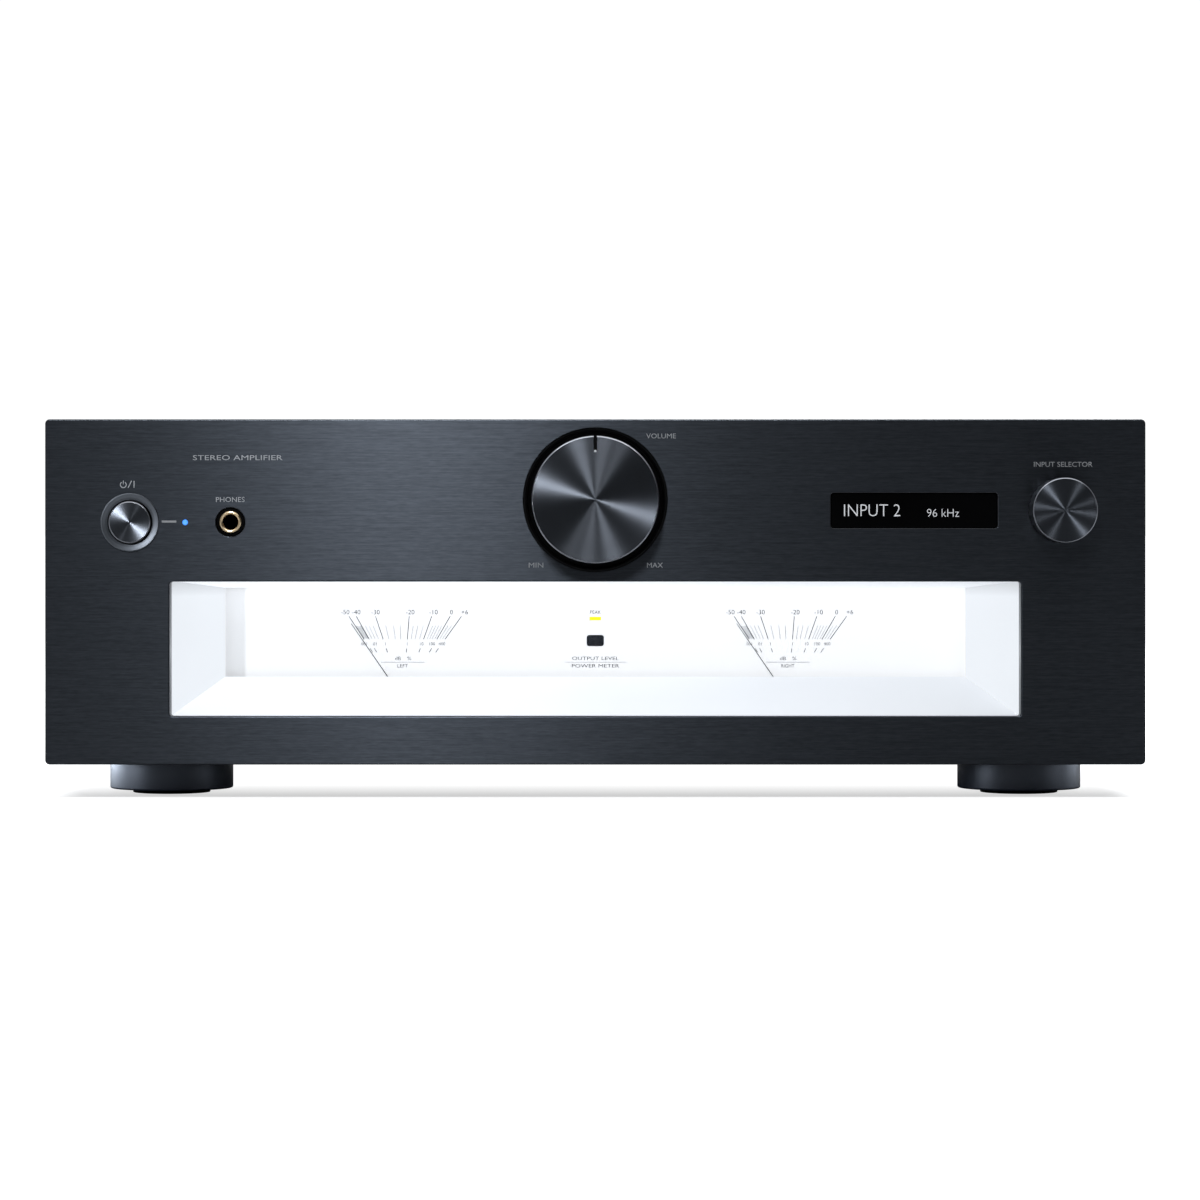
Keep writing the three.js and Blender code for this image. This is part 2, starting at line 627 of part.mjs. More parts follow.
// ================================================================ rear
const THROUGH_REAR = [REAR_INNER_Y - 1, REAR_Y + 1];
const REAR_PANEL = { z0: 13.9, z1: 144.7, chamfer: 1.8 };
const rearOutline = [
  [-TRAY.x, REAR_PANEL.z0],
  [TRAY.x, REAR_PANEL.z0],
  [TRAY.x, REAR_PANEL.z1 - REAR_PANEL.chamfer],
  [TRAY.x - REAR_PANEL.chamfer, REAR_PANEL.z1],
  [-TRAY.x + REAR_PANEL.chamfer, REAR_PANEL.z1],
  [-TRAY.x, REAR_PANEL.z1 - REAR_PANEL.chamfer],
];
const terminalSlot = (first, last) =>
  box(first.x - 9, last.x + 9, ...THROUGH_REAR, TERMINAL.z - 9, TERMINAL.z + 9);
add(
  amplifier,
  "rear_panel",
  cut(
    prismY(rearOutline, REAR_INNER_Y, REAR_Y),
    block(INLET, 14.2, 10.4, ...THROUGH_REAR),
    terminalSlot(TERMINALS[0], TERMINALS[1]),
    terminalSlot(TERMINALS[2], TERMINALS[3]),
    ...[...ANALOG_JACKS, ...COAX_JACKS].map((at) => cylY(at, 6.4, ...THROUGH_REAR, 10)),
    block(OPTICAL, OPTICAL.pitch / 2 + 7, 6.2, ...THROUGH_REAR),
    cylY(GROUND, 2.4, ...THROUGH_REAR, 10),
  ),
  BLACK_SHEET,
);

// Phono sockets: one moulding with a nose, a sleeve and a hole at each place.
// The places run from the lowest x and z to the highest; the margins are round them.
function jackBlock(places, marginX, marginZ) {
  const first = places[0];
  const last = places.at(-1);
  const base = box(
    first.x - marginX,
    last.x + marginX,
    SOCKETS.y0,
    SOCKETS.y1,
    first.z - marginZ,
    last.z + marginZ,
  );
  const noses = places.map((at) => cylY(at, 5.8, REAR_INNER_Y - 1, REAR_Y + 1.2, 10));
  const sleeves = places.map((at) => cylY(at, 4.15, REAR_Y + 1, REAR_Y + 10, 10));
  const holes = places.map((at) => cylY(at, 1.7, REAR_Y - 3, REAR_Y + 11, 6));
  return cut(join(base, ...noses, ...sleeves), ...holes);
}
add(amplifier, "analog_jack_block", jackBlock(ANALOG_JACKS, 9, 8.5), BLACK_PLASTIC);
add(amplifier, "coax_jack_block", jackBlock(COAX_JACKS, 8, 9), BLACK_PLASTIC);

// Optical sockets: a flanged block with two rectangular recesses
const opticalRecesses = [-1, 1].map((side) => {
  const centre = { x: OPTICAL.x + (side * OPTICAL.pitch) / 2, z: OPTICAL.z };
  return block(centre, 4.6, 4.2, REAR_INNER_Y - 6, REAR_Y + 2);
});
add(
  amplifier,
  "optical_sockets",
  cut(
    join(
      block(OPTICAL, 15.2, 5.9, SOCKETS.y0, REAR_Y + 0.8),
      block(OPTICAL, 18, 9, SOCKETS.y0, SOCKETS.y1),
    ),
    ...opticalRecesses,
  ),
  BLACK_PLASTIC,
);

// Earth terminal for a record player: a thumb screw in the rear panel
const GROUND_PROFILE = [
  [0, REAR_INNER_Y - 5], [2, REAR_INNER_Y - 5], [2, REAR_Y + 0.4],
  [3.6, REAR_Y + 0.4], [3.6, REAR_Y + 3], [5.2, REAR_Y + 3.4],
  [5.2, REAR_Y + 10], [4.6, REAR_Y + 10.6], [0, REAR_Y + 10.6],
];
add(amplifier, "ground_screw", turnY(GROUND, GROUND_PROFILE, 12), GOLD);

// Mains inlet: flange and body with a chamfered recess, and three blades.
// Both tables are [x, z] from the inlet's centre.
const INLET_RECESS = [[-12, -8.2], [12, -8.2], [12, 3.6], [7.4, 8.2], [-7.4, 8.2], [-12, 3.6]];
const INLET_BLADES = [[0, 2.4], [-7, -2.4], [7, -2.4]];
const recessOutline = INLET_RECESS.map(([x, z]) => [INLET.x + x, INLET.z + z]);
const blades = INLET_BLADES.map(([x, z]) =>
  block({ x: INLET.x + x, z: INLET.z + z }, 1, 2, REAR_Y - 15, REAR_Y - 1),
);
add(
  amplifier,
  "mains_inlet",
  join(
    cut(
      join(
        block(INLET, 25, 11.4, REAR_Y + 0.3, REAR_Y + 3.1),
        block(INLET, 13.8, 10, REAR_INNER_Y - 21, REAR_Y + 1),
      ),
      prismY(recessOutline, REAR_Y - 14, REAR_Y + 4),
    ),
    ...blades,
  ),
  BLACK_PLASTIC,
);

// Speaker terminals: a plate with four hollow studs, each with a cross hole
const PLATE = { y0: REAR_Y + 0.3, y1: REAR_Y + 3.3, margin: 15 };
const atTerminals = (...size) => TERMINALS.map((at) => cylY(at, ...size));
const plateOutline = roundRect(
  TERMINALS[0].x - PLATE.margin,
  TERMINALS[3].x + PLATE.margin,
  TERMINAL.z - PLATE.margin,
  TERMINAL.z + PLATE.margin,
  2,
  2,
);
add(
  amplifier,
  "speaker_terminal_plate",
  cut(
    join(
      prismY(plateOutline, PLATE.y0, PLATE.y1),
      ...atTerminals(7.4, PLATE.y1 - 0.5, PLATE.y1 + 2, 12),
      ...atTerminals(3.2, REAR_INNER_Y - 12, TERMINAL_END_Y - 2.6, 12),
      ...atTerminals(6, REAR_INNER_Y - 3, PLATE.y0 + 1, 8),
    ),
    ...atTerminals(2.1, PLATE.y0 + 1, TERMINAL_END_Y + 1, 6),
    ...TERMINALS.map(({ x, z }) => cylZ({ x, y: PLATE.y1 + 3.4 }, 1.2, z - 6, z + 6, 6)),
  ),
  GOLD,
);

// Caps: a fluted grip on a plain collar, bored to go over its stud
const gripOutline = Array.from({ length: 24 }, (_, i) => {
  const r = i % 4 < 2 ? TERMINAL.cap : TERMINAL.cap - 0.9;
  const angle = ((i + (i % 2 ? -0.25 : 0.25)) * Math.PI) / 12;
  return [r * Math.cos(angle), r * Math.sin(angle)];
});
for (const { name, x, z } of TERMINALS) {
  const cap = cut(
    join(
      prismY(gripOutline, PLATE.y1 + 5.4, TERMINAL_END_Y),
      cylY(AXIS, 6.6, PLATE.y1 + 2.4, PLATE.y1 + 5.8, 16),
    ),
    cylY(AXIS, 3.5, PLATE.y1, TERMINAL_END_Y - 2, 16),
    cylY(AXIS, 2.3, TERMINAL_END_Y - 4, TERMINAL_END_Y + 1, 8),
  );
  add(amplifier, `speaker_cap_${name}`, cap, BLACK_PLASTIC).position.set(x, 0, z);
}

// ================================================================ electronics
// Ring-shaped mains transformer with chamfered edges
const TRANSFORMER_PROFILE = [
  [17, 25], [24, 17.2], [47, 17.2], [55, 25], [55, 58],
  [47, 66.6], [24, 66.6], [17, 58], [17, 25],
];
const transformer = turnZ({ x: -128, y: -66 }, TRANSFORMER_PROFILE, 20);
add(amplifier, "power_transformer", transformer, COPPER);

// Amplifier board, notched at its rear left corner
add(
  amplifier,
  "amp_board",
  cut(box(-34, 202, -128, 158, 25, 26.6), box(-36, 0, 130, 160, 24, 28)),
  BOARD_GREEN,
);

// Heat sink: a base with upright fins that run front to back
const SINK = { x0: 56, y0: -78, y1: 82 };
const FINS = { count: 13, pitch: 9.6, thick: 2.2 };
const fins = Array.from({ length: FINS.count }, (_, i) => {
  const x = SINK.x0 + i * FINS.pitch;
  return box(x, x + FINS.thick, SINK.y0, SINK.y1, 34, 82);
});
const sinkX1 = SINK.x0 + (FINS.count - 1) * FINS.pitch + FINS.thick;
const sinkBase = box(SINK.x0, sinkX1, SINK.y0, SINK.y1, 27, 35);
add(amplifier, "heat_sink", join(sinkBase, ...fins), DARK_METAL);

// Upright board in front of the rear sockets
const inputBoard = box(-86, 180, REAR_INNER_Y - 15.2, REAR_INNER_Y - 13.6, 86, 136);
add(amplifier, "input_board", inputBoard, BOARD_GREEN);

// Reservoir capacitors
for (const [end, y] of [["front", -62], ["rear", -16]]) {
  const can = cylZ({ x: 4, y }, 17.5, 26.9, 78, 24);
  add(amplifier, `reservoir_capacitor_${end}`, can, CAP_SLEEVE);
}

export default amplifier;
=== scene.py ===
"""Stereo integrated amplifier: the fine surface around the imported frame.

The scene is in metres, +Z up; the front faces -Y and +X is on the right seen from the front.
Lengths in this script are millimetres unless a comment says otherwise.
"""
import math
import random

import bmesh
import bpy
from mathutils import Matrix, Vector
from mathutils.geometry import tessellate_polygon


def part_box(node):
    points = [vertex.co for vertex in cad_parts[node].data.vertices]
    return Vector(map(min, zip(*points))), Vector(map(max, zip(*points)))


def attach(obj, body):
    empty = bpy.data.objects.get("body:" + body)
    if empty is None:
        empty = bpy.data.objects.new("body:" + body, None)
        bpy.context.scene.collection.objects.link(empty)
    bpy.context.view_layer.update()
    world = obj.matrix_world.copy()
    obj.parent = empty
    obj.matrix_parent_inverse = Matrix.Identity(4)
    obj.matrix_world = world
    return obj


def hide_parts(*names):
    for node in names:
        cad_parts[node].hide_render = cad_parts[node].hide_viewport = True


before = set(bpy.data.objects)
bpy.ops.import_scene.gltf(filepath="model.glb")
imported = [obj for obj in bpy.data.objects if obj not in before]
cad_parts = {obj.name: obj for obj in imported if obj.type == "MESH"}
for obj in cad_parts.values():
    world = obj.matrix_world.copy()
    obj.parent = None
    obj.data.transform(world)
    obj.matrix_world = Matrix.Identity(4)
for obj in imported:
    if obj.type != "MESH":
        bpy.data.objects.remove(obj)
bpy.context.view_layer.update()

MM = 0.001
ROOT = "amplifier"
SCENE = bpy.context.scene
random.seed(7)

# ------------------------------------------------------------------ places read from the frame


def box_mm(node):
    low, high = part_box(node)
    return [v * 1000 for v in low], [v * 1000 for v in high]


def middle(node):
    return [(a + b) / 2 for a, b in zip(*box_mm(node))]


PANEL_LOW, PANEL_HIGH = box_mm("front_panel")
FACE = PANEL_LOW[1]  # y of the front panel's face
KNOB_X, _, KNOB_Z = middle("volume_knob")
KNOB_FACE = box_mm("volume_knob")[0][1]
SELECTOR_X, _, SELECTOR_Z = middle("selector_knob")
SELECTOR_FACE = box_mm("selector_knob")[0][1]
BUTTON_X, _, BUTTON_Z = middle("power_button")
BUTTON_FACE = box_mm("power_button")[0][1]
LAMP_X, _, LAMP_Z = middle("standby_led")
PHONES_X, _, PHONES_Z = middle("phones_ring")
DISPLAY_X, _, DISPLAY_Z = middle("display_window")
DIAL = box_mm("dial_plate")[0][1]
COVER_LOW, COVER_HIGH = box_mm("top_cover")
REAR_LOW, REAR_HIGH = box_mm("rear_panel")
REAR_IN, REAR = REAR_LOW[1], REAR_HIGH[1]  # y of the rear sheet's inner and outer faces

# ------------------------------------------------------------------ mesh tools
FINISH = {}  # materials by short key, filled below


def add_mesh(name, mesh, body=ROOT, at=(0, 0, 0)):
    ob = bpy.data.objects.new(name, mesh)
    SCENE.collection.objects.link(ob)
    ob.location = Vector(at) * MM
    if body:
        bpy.context.view_layer.update()
        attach(ob, body)
    return ob


def build(name, shape, finishes="", body=ROOT, at=(0, 0, 0), sharp=32, flat="Y", face_slots=None):
    """A mesh piece from (vertices, faces); at is its own origin, so turning parts spin about it.

    finishes holds the FINISH keys of its material slots, parted by spaces."""
    verts, faces = shape
    mesh = bpy.data.meshes.new(name)
    origin = Vector(at)
    mesh.from_pydata([((Vector(v) - origin) * MM)[:] for v in verts], [], faces)
    bm = bmesh.new()
    bm.from_mesh(mesh)
    bmesh.ops.remove_doubles(bm, verts=bm.verts, dist=1e-7)
    bmesh.ops.recalc_face_normals(bm, faces=bm.faces)
    bm.to_mesh(mesh)
    bm.free()
    for key in finishes.split():
        mesh.materials.append(FINISH[key])
    # the slots only fit while merging has removed no face
    if face_slots and len(face_slots) == len(mesh.polygons):
        for face, slot in zip(mesh.polygons, face_slots):
            face.material_index = slot
    smooth(mesh, sharp, flat)
    return add_mesh(name, mesh, body, at)


def smooth(mesh, angle=32, flat="Y"):
    """Smooth shading, with the faces square to the given axes kept truly flat."""
    mesh.shade_smooth()
    mesh.set_sharp_from_angle(angle=math.radians(angle))
    for face in mesh.polygons:
        if any(abs(face.normal["XYZ".index(axis)]) > 0.99999 for axis in flat):
            face.use_smooth = False


def stand_in(piece, node):
    """Hides the CAD node that the piece replaces."""
    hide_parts(node)
    return piece


def arc_corner(before, corner, after, radius, n):
    """Points that round a corner."""
    a = Vector(before) - Vector(corner)
    b = Vector(after) - Vector(corner)
    length_a, length_b = a.length, b.length
    a.normalize()
    b.normalize()
    half = math.acos(max(-1, min(1, a.dot(b)))) / 2
    if half > math.pi / 2 - 0.02:
        return [tuple(corner)]
    reach = min(radius / math.tan(half), length_a * 0.49, length_b * 0.49)
    radius = reach * math.tan(half)
    centre = Vector(corner) + (a + b).normalized() * (radius / math.sin(half))
    start = Vector(corner) + a * reach - centre
    end = Vector(corner) + b * reach - centre
    sweep = math.pi - 2 * half
    points = []
    for i in range(n + 1):
        t = i / n
        v = (start * math.sin((1 - t) * sweep) + end * math.sin(t * sweep)) / math.sin(sweep)
        points.append(tuple(centre + v))
    return points


def rounded(points, closed=False, n=4):
    """points are (u, v) or (u, v, radius); corners with a radius are rounded."""
    out = []
    last = len(points) - 1
    for i, p in enumerate(points):
        if len(p) < 3 or (not closed and i in (0, last)):
            out.append((p[0], p[1]))
            continue
        after = points[(i + 1) % len(points)]
        out += arc_corner(points[i - 1][:2], p[:2], after[:2], p[2], n)
    return out


def revolve(points, seg, place, closed=False, shape=None):
    """Turns (radius, height) points; place(radius, angle, height) gives the vertex.

    Also returns, for each face, the mean radius and height of its span."""
    verts, rings = [], []
    for r, h in points:
        count = 1 if r < 1e-6 else seg
        rings.append(range(len(verts), len(verts) + count))
        for k in range(count):
            angle = 2 * math.pi * k / seg
            verts.append(place(shape(r, angle, h) if shape else r, angle, h))
    faces, spans = [], []
    for i in range(len(rings) if closed else len(rings) - 1):
        j = (i + 1) % len(rings)
        a, b = rings[i], rings[j]
        if len(a) == len(b) == 1:
            continue
        span = ((points[i][0] + points[j][0]) / 2, (points[i][1] + points[j][1]) / 2)
        for k in range(seg):
            k2 = (k + 1) % seg
            if len(a) == 1:
                faces.append((a[0], b[k2], b[k]))
            elif len(b) == 1:
                faces.append((a[k], a[k2], b[0]))
            else:
                faces.append((a[k], a[k2], b[k2], b[k]))
            spans.append(span)
    return verts, faces, spans


def lathe(name, x, z, profile, finishes, seg=128, body=ROOT, seat=0.0, closed=False,
          slot_at=None, shape=None, at=None, sharp=32):
    """Turned about the Y axis through x, z. profile is (radius, y[, fillet]), y from the seat.

    slot_at(radius, y) picks a span's material slot; shape(radius, angle, y) flutes a rim."""
    points = rounded([(p[0], seat + p[1], *p[2:]) for p in profile], closed)

    def place(r, angle, y):
        return (x + r * math.sin(angle), y, z + r * math.cos(angle))

    verts, faces, spans = revolve(points, seg, place, closed, shape)
    slots = [slot_at(*span) for span in spans] if slot_at else None
    return build(name, (verts, faces), finishes, body, at or (x, 0, z), sharp, face_slots=slots)


def upright(x, y, profile, seg, n):
    """Vertices and faces turned about the Z axis through x, y."""

    def place(r, angle, z):
        return (x + r * math.cos(angle), y + r * math.sin(angle), z)

    return revolve(rounded(profile, n=n), seg, place)[:2]


def rect(x0, x1, z0, z1, radius, n=6):
    """A rounded rectangle as a function of its inset."""

    def outline(inset):
        q = max(radius - inset, 0.02)
        points = []
        for cx, cz, start in (
            (x1 - inset - q, z0 + inset + q, -90),
            (x1 - inset - q, z1 - inset - q, 0),
            (x0 + inset + q, z1 - inset - q, 90),
            (x0 + inset + q, z0 + inset + q, 180),
        ):
            for i in range(n + 1):
                a = math.radians(start + 90 * i / n)
                points.append((cx + q * math.cos(a), cz + q * math.sin(a)))
        return points

    return outline


def circle(x, z, radius, n=64):
    """A circle as a function of its inset."""

    def outline(inset):
        r = radius - inset
        turns = [2 * math.pi * i / n for i in range(n)]
        return [(x + r * math.cos(a), z + r * math.sin(a)) for a in turns]

    return outline


def plate(name, outer, holes, y0, y1, finishes, front=0.4, back=0.2, n=3, hole_fronts=None):
    """A plate from y0 to y1, its edges rounded by front at y0 and by back at y1, holes too.

    hole_fronts gives each hole its own rounding at y0."""
    quarter = [math.pi / 2 * i / n for i in range(n + 1)]
    verts, faces, first, last = [], [], [], []
    fronts = [front] + (hole_fronts or [front] * len(holes))
    for k, (outline, edge) in enumerate(zip([outer] + holes, fronts)):
        steps = [(edge * (1 - math.sin(a)), y0 + edge * (1 - math.cos(a))) for a in quarter]
        steps += [(back * (1 - math.cos(a)), y1 - back * (1 - math.sin(a))) for a in quarter]
        rings = []
        for inset, y in steps:
            points = outline(-inset if k else inset)
            rings.append(list(range(len(verts), len(verts) + len(points))))
            verts += [(p[0], y, p[1]) for p in points]
        for a, b in zip(rings, rings[1:]):
            for i in range(len(a)):
                j = (i + 1) % len(a)
                faces.append((a[i], a[j], b[j], b[i]))
        first.append(rings[0])
        last.append(rings[-1])
    for loops in (first, last):
        flat = [i for loop in loops for i in loop]
        for triangle in tessellate_polygon([[Vector(verts[i]) for i in loop] for loop in loops]):
            faces.append(tuple(flat[i] for i in triangle))
    return build(name, (verts, faces), finishes)


def prism(points, h0, h1, axis="Y"):
    """An outline drawn along an axis: (x, z) for Y, (x, y) for Z and (y, z) for X."""
    k = len(points)

    def put(p, h):
        if axis == "Y":
            return (p[0], h, p[1])
        if axis == "Z":
            return (p[0], p[1], h)
        return (h, p[0], p[1])

    verts = [put(p, h0) for p in points] + [put(p, h1) for p in points]
    faces = [tuple(range(k)), tuple(range(2 * k - 1, k - 1, -1))]
    faces += [(i, (i + 1) % k, (i + 1) % k + k, i + k) for i in range(k)]
    return verts, faces


def merge(parts):
    verts, faces = [], []
    for part_verts, part_faces in parts:
        n = len(verts)
        verts += part_verts
        faces += [tuple(i + n for i in face) for face in part_faces]
    return verts, faces


def evaluated_mesh(ob):
    bpy.context.view_layer.update()
    depsgraph = bpy.context.evaluated_depsgraph_get()
    return bpy.data.meshes.new_from_object(ob.evaluated_get(depsgraph))


def bake_modifiers(ob):
    """Writes the object's modifiers into its mesh."""
    mesh = evaluated_mesh(ob)
    old = ob.data
    ob.modifiers.clear()
    ob.data = mesh
    bpy.data.meshes.remove(old)


def bevel(ob, width, segments=2, angle=30):
    mod = ob.modifiers.new("edge", "BEVEL")
    mod.width = width * MM
    mod.segments = segments
    mod.limit_method = "ANGLE"
    mod.angle_limit = math.radians(angle)
    mod.harden_normals = True


def cut(ob, cutter_parts):
    cutter = build(ob.name + "_cutter", merge(cutter_parts), body=None, sharp=30)
    mod = ob.modifiers.new("cut", "BOOLEAN")
    mod.operation = "DIFFERENCE"
    mod.solver = "EXACT"
    mod.object = cutter
    bake_modifiers(ob)
    bpy.data.objects.remove(cutter)


def blocks(name, items, finish, width=0.4):
    """Joined blocks (x0, x1, y0, y1, z0, z1) with rounded edges."""
    parts = [
        prism([(x0, z0), (x1, z0), (x1, z1), (x0, z1)], y0, y1) for x0, x1, y0, y1, z0, z1 in items
    ]
    ob = build(name, merge(parts), finish, sharp=30)
    if width:
        bevel(ob, width)


def cad(node, finish, width, segments=2, angle=35):
    """A CAD node that stays: its finish, and a fine edge on its corners."""
    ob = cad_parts[node]
    ob.data.materials.clear()
    ob.data.materials.append(FINISH[finish])
    weld = ob.modifiers.new("weld", "WELD")
    weld.merge_threshold = 1e-6
    if width:
        bevel(ob, width, segments, angle)


# ------------------------------------------------------------------ material tools


class Nodes:
    """A shader node tree with shortcuts for adding and linking nodes."""

    def __init__(self, tree):
        self.tree = tree

    def plug(self, socket, value):
        """Links a socket to the input, or sets the input's value."""
        if isinstance(value, bpy.types.NodeSocket):
            self.tree.links.new(value, socket)
        else:
            socket.default_value = value

    def feed(self, node, **values):
        """Sets node properties and inputs by name, with _ for a space in an input's name."""
        for key, value in values.items():
            if hasattr(node, key):
                setattr(node, key, value)
            else:
                self.plug(node.inputs[key.replace("_", " ")], value)

    def new(self, kind, **values):
        node = self.tree.nodes.new(kind)
        self.feed(node, **values)
        return node

    def axes(self, vector):
        return self.new("ShaderNodeSeparateXYZ", Vector=vector).outputs

    def geometry(self):
        return self.new("ShaderNodeNewGeometry").outputs

    def noise(self, scale, detail=4, roughness=0.55, stretch=(1, 1, 1)):
        place = self.new("ShaderNodeTexCoord").outputs["Object"]
        mapping = self.new("ShaderNodeMapping", Scale=stretch, Vector=place)
        return self.new(
            "ShaderNodeTexNoise", Scale=scale, Detail=detail, Roughness=roughness,
            Vector=mapping.outputs["Vector"],
        ).outputs["Fac"]

    def remap(self, value, from_min, from_max, to_min, to_max):
        return self.new(
            "ShaderNodeMapRange", From_Min=from_min, From_Max=from_max,
            To_Min=to_min, To_Max=to_max, Value=value,
        ).outputs["Result"]

    def mix_color(self, factor, a, b):
        node = self.new("ShaderNodeMix", data_type="RGBA", Factor=factor, A=(*a, 1), B=(*b, 1))
        return [o for o in node.outputs if o.type == "RGBA"][0]

    def mix_shader(self, factor, a, b):
        node = self.new("ShaderNodeMixShader")
        for socket, value in zip(node.inputs, (factor, a, b)):
            self.plug(socket, value)
        return node.outputs[0]

    def operate(self, kind, operation, operands):
        node = self.new(kind, operation=operation)
        for socket, value in zip(node.inputs, operands):
            self.plug(socket, value)
        return node.outputs

    def math(self, operation, *operands):
        return self.operate("ShaderNodeMath", operation, operands)[0]

    def vector(self, operation, *operands, output="Vector"):
        return self.operate("ShaderNodeVectorMath", operation, operands)[output]


class Mat(Nodes):
    """A Principled material with its node tree at hand, kept in FINISH under a key."""

    def __init__(self, key, name, color, rough=0.5, metal=0.0, spec=0.5):
        self.material = bpy.data.materials.new(name)
        self.material.use_nodes = True
        super().__init__(self.material.node_tree)
        self.principled = self.tree.nodes["Principled BSDF"]
        self.shade(
            Base_Color=(*color, 1), Roughness=rough, Metallic=metal, Specular_IOR_Level=spec
        )
        self.material.diffuse_color = (*color, 1)
        FINISH[key] = self.material

    def shade(self, **values):
        self.feed(self.principled, **values)

    def vary_color(self, value, a, b, low=0.3, high=0.7):
        factor = self.remap(value, low, high, 0, 1)
        self.shade(Base_Color=self.mix_color(factor, a, b))

    def streak(self, value, color, amount, low=0.3, high=0.7):
        """Darkens and lightens the colour by a share of itself."""
        dark = tuple(c * (1 - amount) for c in color)
        light = tuple(c * (1 + amount) for c in color)
        self.vary_color(value, dark, light, low, high)

    def vary_rough(self, value, low, high):
        self.shade(Roughness=self.remap(value, 0.3, 0.7, low, high))

    def bump(self, height, strength, distance):
        """distance is in metres."""
        node = self.new("ShaderNodeBump", Strength=strength, Distance=distance, Height=height)
        self.shade(Normal=node.outputs["Normal"])

    def emit(self, color, strength):
        self.shade(Emission_Color=(*color, 1), Emission_Strength=strength)


def brushed(key, name, color, rough, metal, anisotropy, depth, streak):
    """Metal brushed along X: the highlight spreads across the marks."""
    m = Mat(key, name, color, rough, metal)
    fine = m.noise(2400, detail=2, roughness=0.6, stretch=(0.1, 1, 1))
    long = m.noise(1500, detail=3, roughness=0.6, stretch=(0.02, 1, 1))
    wide = m.noise(9, detail=2, roughness=0.5, stretch=(0.3, 1, 1))
    m.streak(m.math("ADD", fine, long), color, streak, 0.7, 1.3)
    m.vary_rough(wide, rough * 0.97, rough * 1.03)
    m.bump(fine, depth, 0.00001)
    tangent = m.vector("CROSS_PRODUCT", (1, 0, 0), m.geometry()["Normal"])
    m.shade(Tangent=tangent, Anisotropic=anisotropy)


def spun(key, name, x, z, color, rough, anisotropy, depth=0.25, rings=2600, streak=0.25):
    """Turned metal: fine rings around the Y axis through x, z."""
    m = Mat(key, name, color, rough, 1.0)
    axis = (x * MM, 0, z * MM)
    offset = m.vector("SUBTRACT", m.geometry()["Position"], axis)
    flat = m.vector("MULTIPLY", offset, (1, 0, 1))
    radius = m.vector("LENGTH", flat, output="Value")
    place = m.new("ShaderNodeCombineXYZ", X=radius, Y=m.axes(offset)["Y"]).outputs[0]
    noise = m.new("ShaderNodeTexNoise", Scale=rings, Detail=3, Vector=place).outputs["Fac"]
    m.streak(noise, color, streak)
    m.vary_rough(noise, rough * 0.97, rough * 1.03)
    m.bump(noise, depth, 0.00003)
    geometry = m.geometry()
    offset = m.vector("SUBTRACT", geometry["Position"], axis)
    around = m.vector("CROSS_PRODUCT", (0, 1, 0), offset)
    across = m.vector("CROSS_PRODUCT", around, geometry["Normal"])
    m.shade(Tangent=m.vector("NORMALIZE", across), Anisotropic=anisotropy)


def grained(key, name, color, rough, metal=0.0, scale=1800, depth=0.25, spec=0.5, vary=0.25,
            distance=0.00006):
    """A moulded or powder-coated surface: a fine even texture and faint broad variation."""
    m = Mat(key, name, color, rough, metal, spec)
    fine = m.noise(scale, detail=3, roughness=0.6)
    wide = m.noise(14, detail=4, roughness=0.6)
    m.streak(wide, color, vary)
    m.vary_rough(wide, rough - 0.06, rough + 0.06)
    m.bump(fine, depth, distance)


# ------------------------------------------------------------------ materials
brushed(
    "panel", "panel_black_aluminium", (0.036, 0.040, 0.047),
    rough=0.30, metal=0.96, anisotropy=0.89, depth=0.12, streak=0.22,
)

# key, name, colour, roughness, metallic
PLAIN = [
    ("panel_edge", "panel_edge_cut", (0.25, 0.27, 0.3), 0.3, 1.0),
    # painted highlight: a lighter metal for the panel's top front edge
    ("panel_rim", "panel_top_rim", (0.1, 0.108, 0.12), 0.35, 1.0),
    # painted highlight: a lighter metal for the display hole's walls and edge
    ("rim_line", "display_rim_line", (0.05, 0.052, 0.058), 0.45, 0.6),
    ("knob_rim", "knob_cut_rim", (0.3, 0.31, 0.34), 0.3, 1.0),
]
for row in PLAIN:
    Mat(*row)

KNOB_AXIS = (KNOB_X, KNOB_Z)
SELECTOR_AXIS = (SELECTOR_X, SELECTOR_Z)
BUTTON_AXIS = (BUTTON_X, BUTTON_Z)
# key, name, axis x and z, colour, roughness, anisotropy[, bump strength, ring scale, streak share]
SPUN = [
    ("knob", "volume_knob_spun", *KNOB_AXIS, (0.044, 0.048, 0.055), 0.26, 0.99, 0.01, 4200, 0.06),
    ("knob_side", "volume_knob_side", *KNOB_AXIS, (0.05, 0.055, 0.062), 0.35, 0.6),
    ("selector", "selector_spun", *SELECTOR_AXIS, (0.042, 0.046, 0.053), 0.26, 0.98, 0.0, 4200, 0.04),
    # painted shade: the knob's side is far darker than its face, for the shade beside and below it
    ("selector_side", "selector_side", *SELECTOR_AXIS, (0.014, 0.015, 0.018), 0.4, 0.5),
    ("button", "standby_button_spun", *BUTTON_AXIS, (0.044, 0.048, 0.055), 0.21, 0.99, 0.01, 4200, 0.06),
    ("ring", "standby_ring_satin", *BUTTON_AXIS, (0.11, 0.12, 0.135), 0.42, 0.4, 0.1),
]
for row in SPUN:
    spun(*row)

